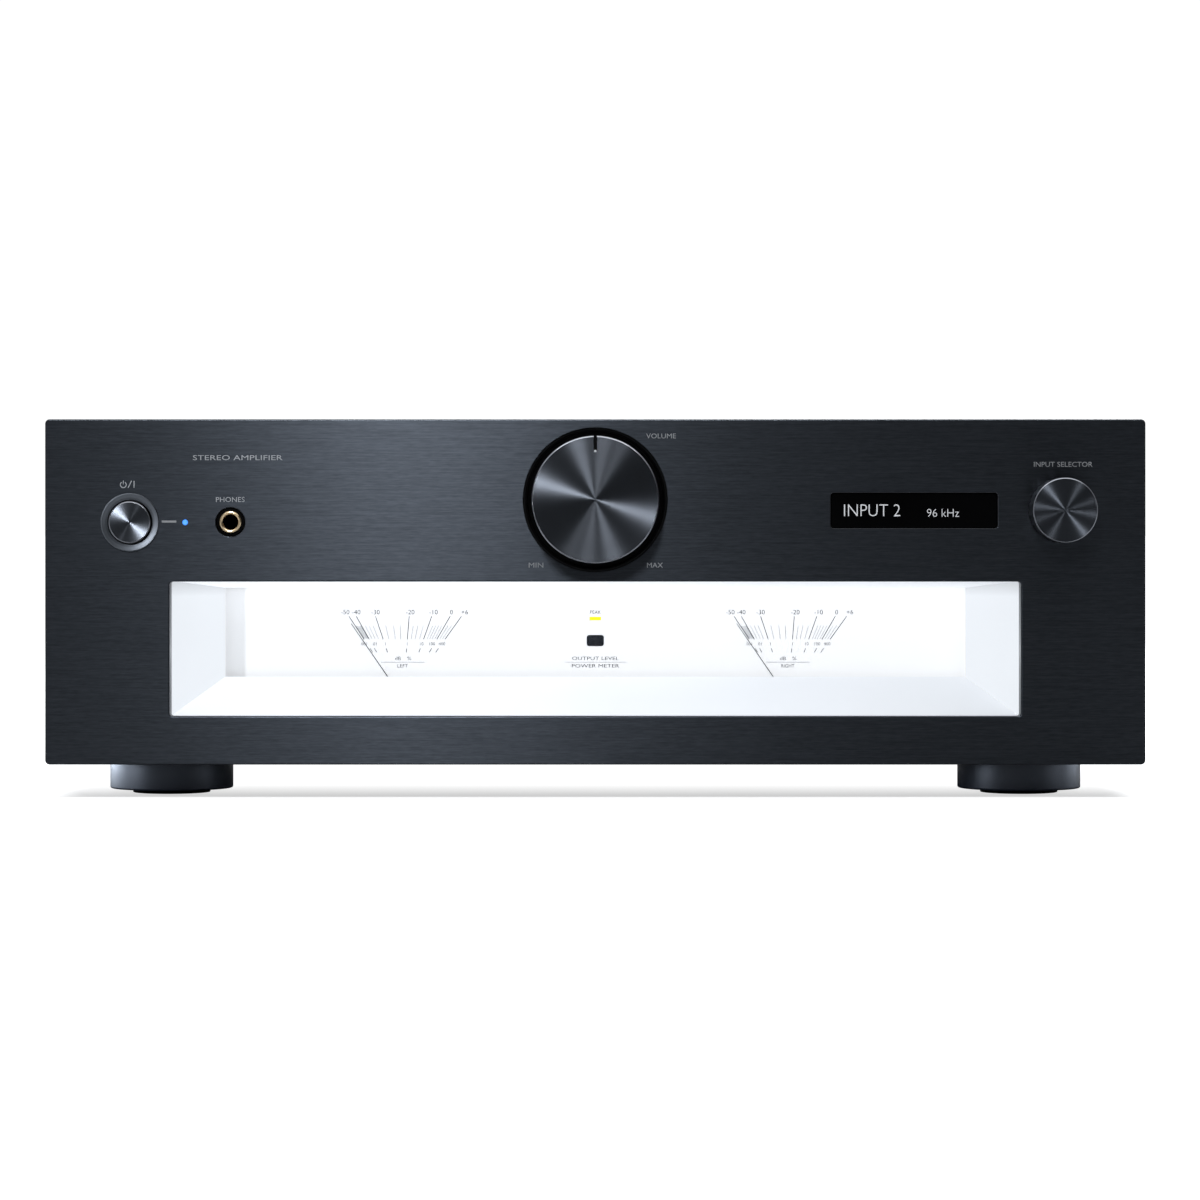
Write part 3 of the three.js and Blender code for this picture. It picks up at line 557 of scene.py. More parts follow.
# key, name, colour, roughness[, metallic, grain scale, bump strength, specular, colour variation,
# bump distance in metres]
GRAINED = [
    ("black", "black_moulding", (0.006, 0.0065, 0.008), 0.5),
    # painted shade: near-black for the walls of the knob's pointer slot
    ("void", "dark_recess", (0.0012, 0.0012, 0.0014), 0.85, 0.0, 1800, 0.05, 0.04),
    # a real recess around the volume knob, made near-black as painted shade; the panel's hole walls
    # there take it too
    ("well", "well_black", (0.0022, 0.0023, 0.0028), 0.7, 0.0, 1800, 0.05, 0.25),
    ("socket", "socket_black", (0.002, 0.002, 0.0026), 0.55, 0.0, 1800, 0.1, 0.1),
    ("lens", "display_lens", (0.0005, 0.0005, 0.0008), 0.14, 0.0, 400, 0.01, 0.1),
    ("smoked", "smoked_cap", (0.008, 0.008, 0.009), 0.16, 0.0, 900, 0.05, 0.5),
    ("gloss", "smoked_lens", (0.012, 0.016, 0.026), 0.16, 0.0, 400, 0.02),
    ("gold", "gilt_plating", (0.9, 0.7, 0.44), 0.28, 1.0, 2400, 0.05),
    ("cover", "cover_powder_coat", (0.014, 0.0145, 0.016), 0.5, 0.0, 1500, 0.5, 0.5, 0.2, 0.00012),
    ("zinc", "zinc_sheet", (0.46, 0.47, 0.48), 0.42, 0.95, 320, 0.15, 0.5, 0.12),
    ("screw", "black_screw", (0.03, 0.031, 0.034), 0.35, 0.9, 2600, 0.1),
    ("steel", "bright_steel", (0.5, 0.5, 0.5), 0.3, 1.0, 2400, 0.1),
    ("foot", "foot_satin", (0.019, 0.024, 0.035), 0.4, 0.1, 2200, 0.12, 0.6),
    ("rubber", "foot_rubber", (0.004, 0.004, 0.0045), 0.8, 0.0, 2600, 0.4),
    ("pcb", "board_green", (0.012, 0.09, 0.045), 0.4, 0.0, 700, 0.2),
    ("iron", "movement_iron", (0.07, 0.07, 0.075), 0.45, 0.9, 600, 0.3),
    ("sink", "heat_sink_black", (0.02, 0.02, 0.022), 0.45, 0.85, 900, 0.2),
    ("sleeve", "capacitor_sleeve", (0.012, 0.014, 0.03), 0.3, 0.0, 300, 0.05),
    ("ink", "legend_ink", (0.46, 0.47, 0.49), 0.6, 0.0, 4000, 0.05),
    # the same print, dimmer: painted shade for the legends right of the panel light's highlight; the
    # lamp line takes it too
    ("ink_low", "legend_ink_dim", (0.3, 0.305, 0.315), 0.6, 0.0, 4000, 0.05),
    ("ink_dark", "dial_ink", (0.09, 0.09, 0.1), 0.6, 0.0, 4000, 0.02),
    ("ink_mid", "dial_ink_grey", (0.035, 0.038, 0.05), 0.6, 0.0, 4000, 0.02),
    ("ink_pale", "dial_ink_pale", (0.2, 0.22, 0.27), 0.6, 0.0, 4000, 0.02),
    ("needle", "needle_paint", (0.012, 0.012, 0.014), 0.45, 0.2, 2000, 0.05),
    ("red", "red_insulator", (0.42, 0.012, 0.01), 0.35, 0.0, 900, 0.05),
    ("white", "white_insulator", (0.75, 0.75, 0.73), 0.4, 0.0, 900, 0.05),
    ("orange", "orange_insulator", (0.6, 0.16, 0.01), 0.4, 0.0, 900, 0.05),
]
for row in GRAINED:
    grained(*row)

# key, name, colour, roughness, emission colour, emission strength
LAMPS_AND_PAINTED_GLINT = [
    ("yellow", "yellow_lamp", (0.9, 0.85, 0.02), 0.4, (1.0, 0.88, 0.0), 0.85),
    ("display_text", "display_light", (0.8, 0.82, 0.85), 0.5, (0.85, 0.86, 0.88), 0.34),
    # the pointer dot is no lamp: a white dot whose glow is a painted glint
    ("pointer", "pointer_dot_painted_glint", (0.9, 0.92, 0.95), 0.3, (0.9, 0.93, 1.0), 0.35),
]
for *look, glow_color, glow_strength in LAMPS_AND_PAINTED_GLINT:
    Mat(*look).emit(glow_color, glow_strength)


def blue_lamp():
    """A blue lamp, deeper in colour towards its edge."""
    m = Mat("blue", "blue_lamp", (0.02, 0.2, 0.9), 0.15)
    facing = m.new("ShaderNodeLayerWeight", Blend=0.35).outputs["Facing"]
    glow = m.mix_color(facing, (0.12, 0.42, 1.0), (0.02, 0.11, 0.6))
    m.shade(Emission_Color=glow, Emission_Strength=1.0)


def meter_white():
    """Lit white plastic, its glow painted light in place of the meter lamps' light: cooler side walls, a
    floor whose painted light fades to the right, and painted shade dimming the top.
    """
    # painted light: each wall's glow stands in for the meter lamps' light
    painted_side_light, painted_floor_light_left, painted_floor_light_right = 0.86, 0.6, 0.38
    # the side walls get a near-black base so that only their painted light shows
    white, side_color = (0.8, 0.81, 0.83), (0.1, 0.102, 0.105)
    housing_middle = (0, (FACE + 20) * MM, 58 * MM)
    m = Mat("lit", "meter_white_painted_glow", white, 0.5)
    geometry = m.geometry()
    place = m.axes(geometry["Position"])
    normal = m.axes(geometry["Normal"])
    is_side = m.remap(m.math("ABSOLUTE", normal["X"]), 0.3, 0.6, 0, 1)
    # painted shade: the floor's glow falls off to the right
    painted_floor_light = m.remap(place["X"], -0.02, 0.145, painted_floor_light_left, painted_floor_light_right)
    glow = m.new(
        "ShaderNodeMix", data_type="FLOAT", Factor=is_side, A=painted_floor_light, B=painted_side_light
    ).outputs[0]
    variation = m.remap(m.noise(30, detail=3), 0.0, 1.0, 0.98, 1.02)
    # painted shade: the glow dims towards the top of the housing
    painted_top_shade = m.remap(place["Z"], 0.0785, 0.0835, 1.0, 0.74)
    glow = m.math("MULTIPLY", m.math("MULTIPLY", glow, painted_top_shade), variation)
    # only the inside of the housing glows: its faces look back at its middle
    outward = m.vector("SUBTRACT", geometry["Position"], housing_middle)
    facing = m.vector("DOT_PRODUCT", outward, geometry["Normal"], output="Value")
    inside = m.math("LESS_THAN", facing, 0.0)
    m.shade(
        Base_Color=m.mix_color(is_side, white, side_color),
        Emission_Color=(0.9, 0.945, 1.0, 1),
        Emission_Strength=m.math("MULTIPLY", glow, inside),
    )
    m.bump(m.noise(1600, detail=2), 0.05, 0.00002)


def dial_white():
    """The lit dial plate: only its front glows, painted light in place of the meter lamps' light, with
    painted shade dimming its far left edge.
    """
    strength = 0.66
    m = Mat("dial", "dial_white_painted_glow", (0.8, 0.81, 0.83), 0.5)
    m.vary_rough(m.noise(60), 0.45, 0.55)
    m.bump(m.noise(1800, detail=2), 0.05, 0.00002)
    # painted light: the dial glows in place of the meter lamps' light
    m.emit((0.97, 0.985, 1.0), strength)
    geometry = m.geometry()
    across = m.axes(geometry["Position"])["X"]
    facing = m.axes(geometry["Normal"])["Y"]
    # painted shade: a dimmer strip along the dial's far left edge
    painted_edge_shade = m.remap(across, -0.1405, -0.1392, strength * 0.66, strength)
    is_front = m.remap(facing, -0.9, -0.5, 1, 0)
    m.shade(Emission_Strength=m.math("MULTIPLY", painted_edge_shade, is_front))


def clear_sheet():
    """Clear sheet: it lets everything through and mirrors a little on its outer faces."""
    m = Mat("clear", "clear_sheet", (1, 1, 1), 0.03)
    through = m.new("ShaderNodeBsdfTransparent").outputs[0]
    mirror = m.new("ShaderNodeBsdfGlossy", Roughness=0.03).outputs[0]
    fresnel = m.new("ShaderNodeFresnel", IOR=1.3).outputs[0]
    outer = m.remap(m.geometry()["Backfacing"], 0.0, 1.0, 1, 0)
    share = m.math("MULTIPLY", m.remap(fresnel, 0.0, 1.0, 0, 0.8), outer)
    surface = m.mix_shader(share, through, mirror)
    m.plug(m.tree.nodes["Material Output"].inputs["Surface"], surface)


def winding_wire():
    """Copper strands laid side by side around the transformer's upright axis."""
    strands = 95
    x, y, _ = middle("power_transformer")
    m = Mat("winding", "winding_wire", (0.3, 0.12, 0.035), 0.35, 0.75)
    offset = m.axes(m.vector("SUBTRACT", m.geometry()["Position"], (x * MM, y * MM, 0)))
    angle = m.math("ARCTAN2", offset["Y"], offset["X"])
    wave = m.math("SINE", m.math("MULTIPLY", angle, strands))
    m.vary_color(wave, (0.16, 0.06, 0.02), (0.42, 0.18, 0.06), -1, 1)
    m.bump(wave, 0.6, 0.0006)


blue_lamp()
meter_white()
dial_white()
clear_sheet()
winding_wire()

# ------------------------------------------------------------------ lettering


def words(items, name, finish, y, facing=-1, weight=0.0):
    """One mesh of small flat words, read from -Y (facing -1) or from +Y (facing 1).

    items: (text, x, z, height or (width, height), "L" left or "C" centred)."""
    verts, faces = [], []
    for text, x, z, size, align in items:
        curve = bpy.data.curves.new("t", "FONT")
        curve.body = text
        curve.size = 1.0
        curve.resolution_u = 3
        curve.offset = weight
        curve.align_x = "LEFT"
        ob = bpy.data.objects.new("t", curve)
        SCENE.collection.objects.link(ob)
        letters = evaluated_mesh(ob)
        xs = [v.co.x for v in letters.vertices]
        ys = [v.co.y for v in letters.vertices]
        width, height = max(xs) - min(xs), max(ys) - min(ys)
        if isinstance(size, tuple):
            scale_x, scale_y = size[0] / width, size[1] / height
        else:
            scale_x = scale_y = size / height
        anchor_x = min(xs) if align == "L" else (max(xs) + min(xs)) / 2
        anchor_y = (max(ys) + min(ys)) / 2
        n = len(verts)
        for v in letters.vertices:
            u = (v.co.x - anchor_x) * scale_x
            verts.append((x + (u if facing < 0 else -u), y, z + (v.co.y - anchor_y) * scale_y))
        faces += [tuple(i + n for i in p.vertices) for p in letters.polygons]
        bpy.data.objects.remove(ob)
        bpy.data.curves.remove(curve)
        bpy.data.meshes.remove(letters)
    mesh = bpy.data.meshes.new(name)
    mesh.from_pydata([(a * MM, b * MM, c * MM) for a, b, c in verts], [], faces)
    mesh.materials.append(FINISH[finish])
    bm = bmesh.new()
    bm.from_mesh(mesh)
    bmesh.ops.remove_doubles(bm, verts=bm.verts, dist=1e-8)
    for face in bm.faces:
        face.normal_update()
        if face.normal.y * facing < 0:
            face.normal_flip()
    bm.to_mesh(mesh)
    bm.free()
    return add_mesh(name, mesh)


def strokes(lines, name, finish, y, thick=0.03):
    """Straight printed strokes standing proud of y: (x0, z0, x1, z1, width)."""
    parts = []
    for x0, z0, x1, z1, width in lines:
        along = Vector((x1 - x0, z1 - z0))
        side = Vector((-along.y, along.x)).normalized() * (width / 2)
        corners = [
            (x0 + side.x, z0 + side.y), (x0 - side.x, z0 - side.y),
            (x1 - side.x, z1 - side.y), (x1 + side.x, z1 + side.y),
        ]
        parts.append(prism(corners, y - thick, y))
    return build(name, merge(parts), finish, sharp=30)


# ------------------------------------------------------------------ front panel
WELL_HOLE = 28.3
DISPLAY_HOLE = (32.7, 6.95)  # half width, half height
half_w, half_h = DISPLAY_HOLE
# outline of each hole, rounding of its front edge
PANEL_HOLES = [
    (rect(-166.3, 166.3, 31.9, 84.5, 1.2, 5), 0.55),
    (
        rect(
            DISPLAY_X - half_w, DISPLAY_X + half_w, DISPLAY_Z - half_h, DISPLAY_Z + half_h, 1.3, 5
        ),
        0.3,
    ),
    (circle(KNOB_X, KNOB_Z, WELL_HOLE, 128), 0.05),
    (circle(BUTTON_X, BUTTON_Z, 10.3, 64), 0.2),
    (circle(LAMP_X, LAMP_Z, 1.2, 32), 0.1),
    (circle(PHONES_X, PHONES_Z, 5.7, 64), 0.3),
    (circle(SELECTOR_X, SELECTOR_Z, 4.4, 48), 0.2),
]
panel = plate(
    "panel_front",
    rect(PANEL_LOW[0], PANEL_HIGH[0], PANEL_LOW[2], PANEL_HIGH[2], 1.8, 8),
    [outline for outline, _ in PANEL_HOLES],
    FACE,
    PANEL_HIGH[1],
    "panel panel_edge panel_rim well rim_line",
    front=0.45,
    back=0.3,
    n=4,
    hole_fronts=[edge for _, edge in PANEL_HOLES],
)
RIM_SLOT, WELL_SLOT, LINE_SLOT = 2, 3, 4
for p in panel.data.polygons:
    place = panel.matrix_world @ p.center / MM
    if abs(p.normal.y) <= 0.98:
        # painted shade: the panel's walls inside the knob's hole take the near-black well finish
        if math.hypot(place.x - KNOB_X, place.z - KNOB_Z) < WELL_HOLE + 0.6:
            p.material_index = WELL_SLOT
        # painted highlight: the display hole's walls take a lighter metal
        elif abs(place.x - DISPLAY_X) < half_w + 0.7 and abs(place.z - DISPLAY_Z) < half_h + 0.65:
            p.material_index = LINE_SLOT
    # painted highlight: the top front edge takes a lighter metal
    at_top_front = p.center.z > (PANEL_HIGH[2] - 0.46) * MM and p.center.y < (FACE + 0.46) * MM
    if at_top_front and abs(p.normal.y) <= 0.999:
        p.material_index = RIM_SLOT
stand_in(panel, "front_panel")

# ------------------------------------------------------------------ volume knob
KNOB_R = 24.6
KNOB_CONE = 0.25  # fall of the face towards its rim, degrees
KNOB_SLOT = 0.62  # half width of the pointer slot
KNOB_TOP = KNOB_Z + KNOB_R


def knob_slot_at(r, y):
    if y < KNOB_FACE + 0.5 and r < KNOB_R - 0.5:
        return 0
    return 2 if y < KNOB_FACE + 0.78 else 1


knob = lathe(
    "volume_knob_body", KNOB_X, KNOB_Z,
    [
        (0, KNOB_FACE),
        (2.0, KNOB_FACE + 0.01),
        (
            KNOB_R - 0.42,
            KNOB_FACE + 0.01 + (KNOB_R - 2.42) * math.tan(math.radians(KNOB_CONE)),
            0.05,
        ),
        (KNOB_R, KNOB_FACE + 0.72, 0.12),
        (KNOB_R, FACE + 6.2, 0.5),
        (KNOB_R - 2.2, FACE + 6.2, 0.3),
        (KNOB_R - 2.2, KNOB_FACE + 4, 0.4),
        (7, KNOB_FACE + 4, 0.4),
        (7, FACE + 2, 0.3),
        (3.1, FACE + 2),
        (3.1, KNOB_FACE + 6),
        (0, KNOB_FACE + 6),
    ],
    "knob knob_side knob_rim void", 192, "volume_control", slot_at=knob_slot_at,
)
slot_outline = rounded(
    [
        (-KNOB_SLOT, KNOB_TOP + 1), (-KNOB_SLOT, KNOB_TOP - 6.3, 0.55),
        (KNOB_SLOT, KNOB_TOP - 6.3, 0.55), (KNOB_SLOT, KNOB_TOP + 1),
    ],
    n=5,
)
cut(knob, [prism(slot_outline, KNOB_FACE - 1, KNOB_FACE + 0.8)])
# painted shade: the pointer slot's walls take the near-black recess finish
for p in knob.data.polygons:
    place = p.center + knob.location
    in_slot = abs(place.x - KNOB_X * MM) < 0.0007 and place.z > (KNOB_TOP - 6.6) * MM
    if in_slot and KNOB_FACE * MM + 1e-5 < place.y < (KNOB_FACE + 0.85) * MM:
        p.material_index = 3
smooth(knob.data, 25)
stand_in(knob, "volume_knob")
# the pointer dot's glow is a painted glint
lathe(
    "volume_pointer_dot", KNOB_X, KNOB_TOP - 5.9,
    [(0, 0.35), (0.42, 0.4, 0.1), (0.48, 0.8), (0, 0.8)],
    "pointer", 24, "volume_control", KNOB_FACE,
)
# the well ring is near-black, painted shade in the recess around the knob
well = lathe(
    "volume_well_ring", KNOB_X, KNOB_Z,
    [
        (4.2, 7.4), (26.9, 7.4, 0.5), (26.9, 1.0, 0.5), (27.4, 0.5, 0.3),
        (28.28, 0.45, 0.15), (28.28, 9.0), (4.2, 9.0),
    ],
    "well", 160, seat=FACE, closed=True,
)
stand_in(well, "volume_well")

# ------------------------------------------------------------------ selector knob
SELECTOR_R = 12.7
SELECTOR_BODY_R = SELECTOR_R - 0.15
SELECTOR_RIBS = 20


def ribbed(r, angle, y):
    if r > SELECTOR_R - 0.35 and SELECTOR_FACE + 1.6 < y < FACE - 1.4:
        t = (angle * SELECTOR_RIBS / (2 * math.pi)) % 1.0
        w = min(abs(t - 0.5) / 0.28, 1.0)
        return r + 0.28 * (1 - w * w)
    return r


def selector_slot_at(r, y):
    if y < SELECTOR_FACE + 0.02 and r < SELECTOR_BODY_R - 0.3:
        return 0
    return 2 if y < SELECTOR_FACE + 0.42 else 1


# the knob's side takes the darker finish, painted shade
selector = lathe(
    "selector_knob_body", SELECTOR_X, SELECTOR_Z,
    [
        (0, SELECTOR_FACE),
        (SELECTOR_BODY_R - 0.35, SELECTOR_FACE, 0.04),
        (SELECTOR_BODY_R, SELECTOR_FACE + 0.35, 0.1),
        (SELECTOR_BODY_R, SELECTOR_FACE + 1.5),
        (SELECTOR_BODY_R, SELECTOR_FACE + 1.8),
        (SELECTOR_BODY_R, SELECTOR_FACE + 3),
        (SELECTOR_BODY_R, FACE - 2.6),
        (SELECTOR_BODY_R, FACE - 1.6),
        (SELECTOR_BODY_R, FACE - 1.3),
        (SELECTOR_BODY_R, FACE - 0.8, 0.2),
        (SELECTOR_BODY_R - 1.6, FACE - 0.8, 0.2),
        (SELECTOR_BODY_R - 1.6, SELECTOR_FACE + 3, 0.3),
        (5.6, SELECTOR_FACE + 3, 0.3),
        (5.6, FACE - 1.6, 0.2),
        (3.1, FACE - 1.6),
        (3.1, SELECTOR_FACE + 5),
        (0, SELECTOR_FACE + 5),
    ],
    "selector selector_side knob_rim", 240, "input_selector",
    slot_at=selector_slot_at, shape=ribbed,
)
stand_in(selector, "selector_knob")

# ------------------------------------------------------------------ button, lamp, phones socket
ring = lathe(
    "standby_ring", BUTTON_X, BUTTON_Z,
    [
        (8.6, 1.1), (8.65, -0.2, 0.15), (8.85, -0.36, 0.12), (11.05, -0.93, 0.15),
        (11.4, -0.75, 0.15), (11.4, -0.05), (10.1, -0.05), (10.1, 7.4), (8.6, 7.4),
    ],
    "ring", seat=FACE, closed=True, sharp=40,
)
stand_in(ring, "power_ring")


def button_slot_at(r, y):
    return 1 if r > 7.72 and y < BUTTON_FACE + 0.4 else 0


button = lathe(
    "standby_button_cap", BUTTON_X, BUTTON_Z,
    [
        (0, BUTTON_FACE), (7.75, BUTTON_FACE, 0.04), (8.15, BUTTON_FACE + 0.35, 0.1),
        (8.15, FACE + 6.6, 0.3), (3, FACE + 6.6), (3, FACE + 14.4, 0.3), (0, FACE + 14.4),
    ],
    "button knob_rim", body="standby_button", slot_at=button_slot_at,
)
stand_in(button, "power_button")
lamp = lathe(
    "standby_lamp", LAMP_X, LAMP_Z,
    [
        (0, -0.25), (0.45, -0.2, 0.3), (0.95, 0.05, 0.3), (1.1, 0.5, 0.2),
        (1.1, 8.2), (1.7, 8.2), (1.7, 25.7), (0, 25.7),
    ],
    "blue", 48, seat=FACE,
)
stand_in(lamp, "standby_led")
phones_socket = lathe(
    "phones_socket_body", PHONES_X, PHONES_Z,
    [
        (4.5, 8.4), (4.5, 0.75, 0.1), (5.5, 0.55, 0.25), (5.5, 11.6), (8.0, 11.6, 0.3),
        (8.0, 41.6, 0.5), (0, 41.6), (0, 39.0), (3.2, 39.0), (3.2, 8.4),
    ],
    "socket", 96, seat=FACE, closed=True,
)
stand_in(phones_socket, "phones_jack")
gilt = lathe(
    "phones_gilt_ring", PHONES_X, PHONES_Z,
    [
        (3.08, 0.9), (3.12, 0.4, 0.15), (3.72, -0.1, 0.55), (4.28, 0.4, 0.25),
        (4.35, 0.9), (4.35, 8.0), (3.08, 8.0),
    ],
    "gold", 96, seat=FACE, closed=True, sharp=50,
)
stand_in(gilt, "phones_ring")

# ------------------------------------------------------------------ panel print
PRINT_Y = FACE - 0.015
panel_print = [
    words(
        [
            ("PHONES", PHONES_X, 116.6, (11.2, 1.9), "C"),
            ("STEREO AMPLIFIER", -157.2, 132.96, (35, 1.95), "L"),
        ],
        "panel_legends", "ink", PRINT_Y,
    ),
    # painted shade: these legends take the dimmer ink, away from the panel light
    words(
        [
            ("VOLUME", 25.7, 141.44, (11.6, 1.9), "C"),
            ("MIN", -23.15, 90.96, (5.7, 1.9), "C"),
            ("MAX", 23.3, 90.96, (6.2, 1.9), "C"),
            ("INPUT SELECTOR", 182.8, 130.36, (22.9, 1.95), "C"),
        ],
        "control_legends", "ink_low", PRINT_Y,
    ),
]

# standby mark: a broken ring with a stroke, then a slash and a bar
MARK_X, MARK_Z = -182.7, 122.4
RING_X, RING_R, RING_STEPS = MARK_X - 1.7, 1.15, 22


def ring_point(i):
    """The ring's gap is 70 degrees wide, at its top."""
    a = math.radians(35 + 290 * i / RING_STEPS)
    return RING_X + RING_R * math.sin(a), MARK_Z + RING_R * math.cos(a)


mark = [(*ring_point(i), *ring_point(i + 1), 0.3) for i in range(RING_STEPS)]
mark += [
    (RING_X, MARK_Z + 0.2, RING_X, MARK_Z + 1.6, 0.3),
    (MARK_X + 0.2, MARK_Z - 1.2, MARK_X + 1.5, MARK_Z + 1.5, 0.3),
    (MARK_X + 2.5, MARK_Z - 1.2, MARK_X + 2.5, MARK_Z + 1.5, 0.32),
]
panel_print += [
    strokes(mark, "standby_mark", "ink", FACE, 0.015),
    strokes([(-169.4, 108.0, -163.7, 108.0, 0.8)], "lamp_line", "ink_low", FACE, 0.02),
]

# ------------------------------------------------------------------ display
LENS_GAP = 0.3
lens_w, lens_h = half_w - LENS_GAP, half_h - LENS_GAP
lens = plate(
    "display_lens",
    rect(DISPLAY_X - lens_w, DISPLAY_X + lens_w, DISPLAY_Z - lens_h, DISPLAY_Z + lens_h, 1.1),
    [], FACE + 0.7, FACE + 7.7, "lens", front=0.25, back=0.1,
)
flange = plate(
    "display_lens_flange",
    rect(DISPLAY_X - 36.5, DISPLAY_X + 36.5, DISPLAY_Z - 9.8, DISPLAY_Z + 9.8, 0.8, 4),
    [], FACE + 7.4, FACE + 8.9, "lens", front=0.1, back=0.1,
)
stand_in(lens, "display_window")
stand_in(flange, "display_window")
words(
    [("INPUT 2", 97.2, 112.4, (22.0, 4.7), "L"), ("96 kHz", 129.6, 111.4, (12.6, 3.1), "L")],
    "display_reading", "display_text", FACE + 0.68, weight=-0.014,
)
cad("display_module", "pcb", 0.3)

# ------------------------------------------------------------------ meter
METER_X = 77.0  # of the right-hand pivot; the other mirrors it
METER_Z = 37.4
NEEDLE_REST = 34.5  # lean to the left, degrees
NEEDLE_LENGTH = 36.2
METERS = (("left", -METER_X), ("right", METER_X))
# across the needle, along it from the pivot
NEEDLE_OUTLINE = [
    (-0.45, -7.2), (0.45, -7.2), (0.45, -1), (0.19, 6),
    (0.13, NEEDLE_LENGTH), (-0.13, NEEDLE_LENGTH), (-0.19, 6), (-0.45, -1),
]


def on_needle(pivot_x, across, along):
    lean = math.radians(-NEEDLE_REST)
    return (
        pivot_x + along * math.sin(lean) + across * math.cos(lean),
        METER_Z + along * math.cos(lean) - across * math.sin(lean),
    )


# the housing glows with painted light in place of the meter lamps' light
cad("meter_housing", "lit", 0)
# the dial glows with painted light and a painted shade strip at its left edge
cad("dial_plate", "dial", 0)
cad("meter_window", "clear", 0)
cad("meter_light_board", "pcb", 0.2)
for side, pivot_x in METERS:
    cad(f"{side}_meter_movement", "iron", 0.5)
    hand = f"{side}_meter_hand"
    outline = [on_needle(pivot_x, *point) for point in NEEDLE_OUTLINE]
    arm = build(
        f"{side}_needle_arm", prism(outline, FACE + 38.2, FACE + 38.5), "needle",
        hand, (pivot_x, 0, METER_Z), sharp=30,
    )
    hub = lathe(
        f"{side}_needle_hub", pivot_x, METER_Z,
        [
            (0, 38.0), (2.4, 38.0, 0.4), (2.4, 39.4, 0.3), (0.9, 39.4), (0.9, 44.6),
            (6.1, 44.6, 0.5), (6.1, 59, 0.5), (0, 59),
        ],
        "needle", 64, hand, FACE,
    )
    weight = lathe(
        f"{side}_needle_weight", *on_needle(pivot_x, 0, -6.4),
        [(0, 38.0), (1.5, 38.0, 0.25), (1.5, 38.9, 0.25), (0, 38.9)],
        "steel", 40, hand, FACE, at=(pivot_x, 0, METER_Z),
    )
    for piece in (arm, hub, weight):
        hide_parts(f"{side}_needle")
cad("peak_indicator", "yellow", 0.1)
cad("remote_sensor_window", "gloss", 0.15)

# ------------------------------------------------------------------ dial print
DIAL_PRINT_Y = DIAL - 0.02
# mark angles from upright, degrees
MAIN_MARKS = [-33.3, -29.6, -18.4, 4.5, 19.5, 30.1, 35.7]
FINE_MARKS = [
    -27.4, -25.0, -22.3, -13.2, -7.2, -2.0, 8.2, 11.8, 15.9, 22.5, 24.5, 26.4, 28.4, 32.0, 33.9,
]
DENSE_MARKS = [-32.9, -32.3, -31.7, -31.1, -30.5, -30.0]
# number, x from the meter's pivot
LEVELS = [
    ("-50", -23.0), ("-40", -18.6), ("-30", -10.9), ("-20", 3.0), ("-10", 12.3), ("0", 19.5),
    ("+6", 24.8),
]
SMALL_NUMBERS = [
    (".001", -15.6), (".01", -11.3), (".1", -7.3), ("1", 1.8), ("10", 7.6), ("100", 11.8),
    ("400", 15.7),
]


def rays(pivot_x, angles, low, high, width):
    """Strokes between two heights, pointing away from the pivot."""
    lines = []
    for angle in angles:
        slope = math.tan(math.radians(angle))
        x0, x1 = pivot_x + (low - METER_Z) * slope, pivot_x + (high - METER_Z) * slope
        lines.append((x0, low, x1, high, width))
    return lines


for side, pivot_x in METERS:
    strokes(
        rays(pivot_x, MAIN_MARKS, 60.9, 70.1, 0.28), f"dial_{side}_main_marks", "ink_mid", DIAL
    )
    fine = rays(pivot_x, FINE_MARKS, 61.0, 66.4, 0.15)
    fine += rays(pivot_x, DENSE_MARKS, 61.2, 66.2, 0.12)
    strokes(fine, f"dial_{side}_fine_marks", "ink_pale", DIAL)
    strokes(
        rays(pivot_x, MAIN_MARKS, 55.7, 57.3, 0.26), f"dial_{side}_low_marks", "ink_mid", DIAL
    )
    rule = (pivot_x - 8.7, 51.75, pivot_x + 8.7, 51.75, 0.16)
    strokes([rule], f"dial_{side}_rule", "ink_pale", DIAL)
    numbers = [(text, pivot_x + dx, 71.8, 1.9, "C") for text, dx in LEVELS]
    numbers += [
        ("dB", pivot_x - 1.9, 53.3, (2.3, 1.4), "C"),
        ("%", pivot_x + 2.6, 53.3, (1.7, 1.4), "C"),
        (side.upper(), pivot_x, 50.3, (4.2 if side == "left" else 5.2, 1.4), "C"),
    ]
    words(numbers, f"dial_{side}_numbers", "ink_mid", DIAL_PRINT_Y)
    numbers = [(text, pivot_x + dx, 59.1, 1.25, "C") for text, dx in SMALL_NUMBERS]
    words(numbers, f"dial_{side}_small_numbers", "ink_mid", DIAL_PRINT_Y)
words(
    [
        ("PEAK", 0.1, 71.8, (4.4, 1.4), "C"),
        ("OUTPUT LEVEL", 0.1, 53.3, (18.7, 1.4), "C"),
        ("POWER METER", 0.1, 50.3, (19.0, 1.4), "C"),
    ],
    "dial_centre_words", "ink_mid", DIAL_PRINT_Y,
)
strokes([(-12.4, 51.75, 12.4, 51.75, 0.14)], "dial_centre_line", "ink_pale", DIAL)

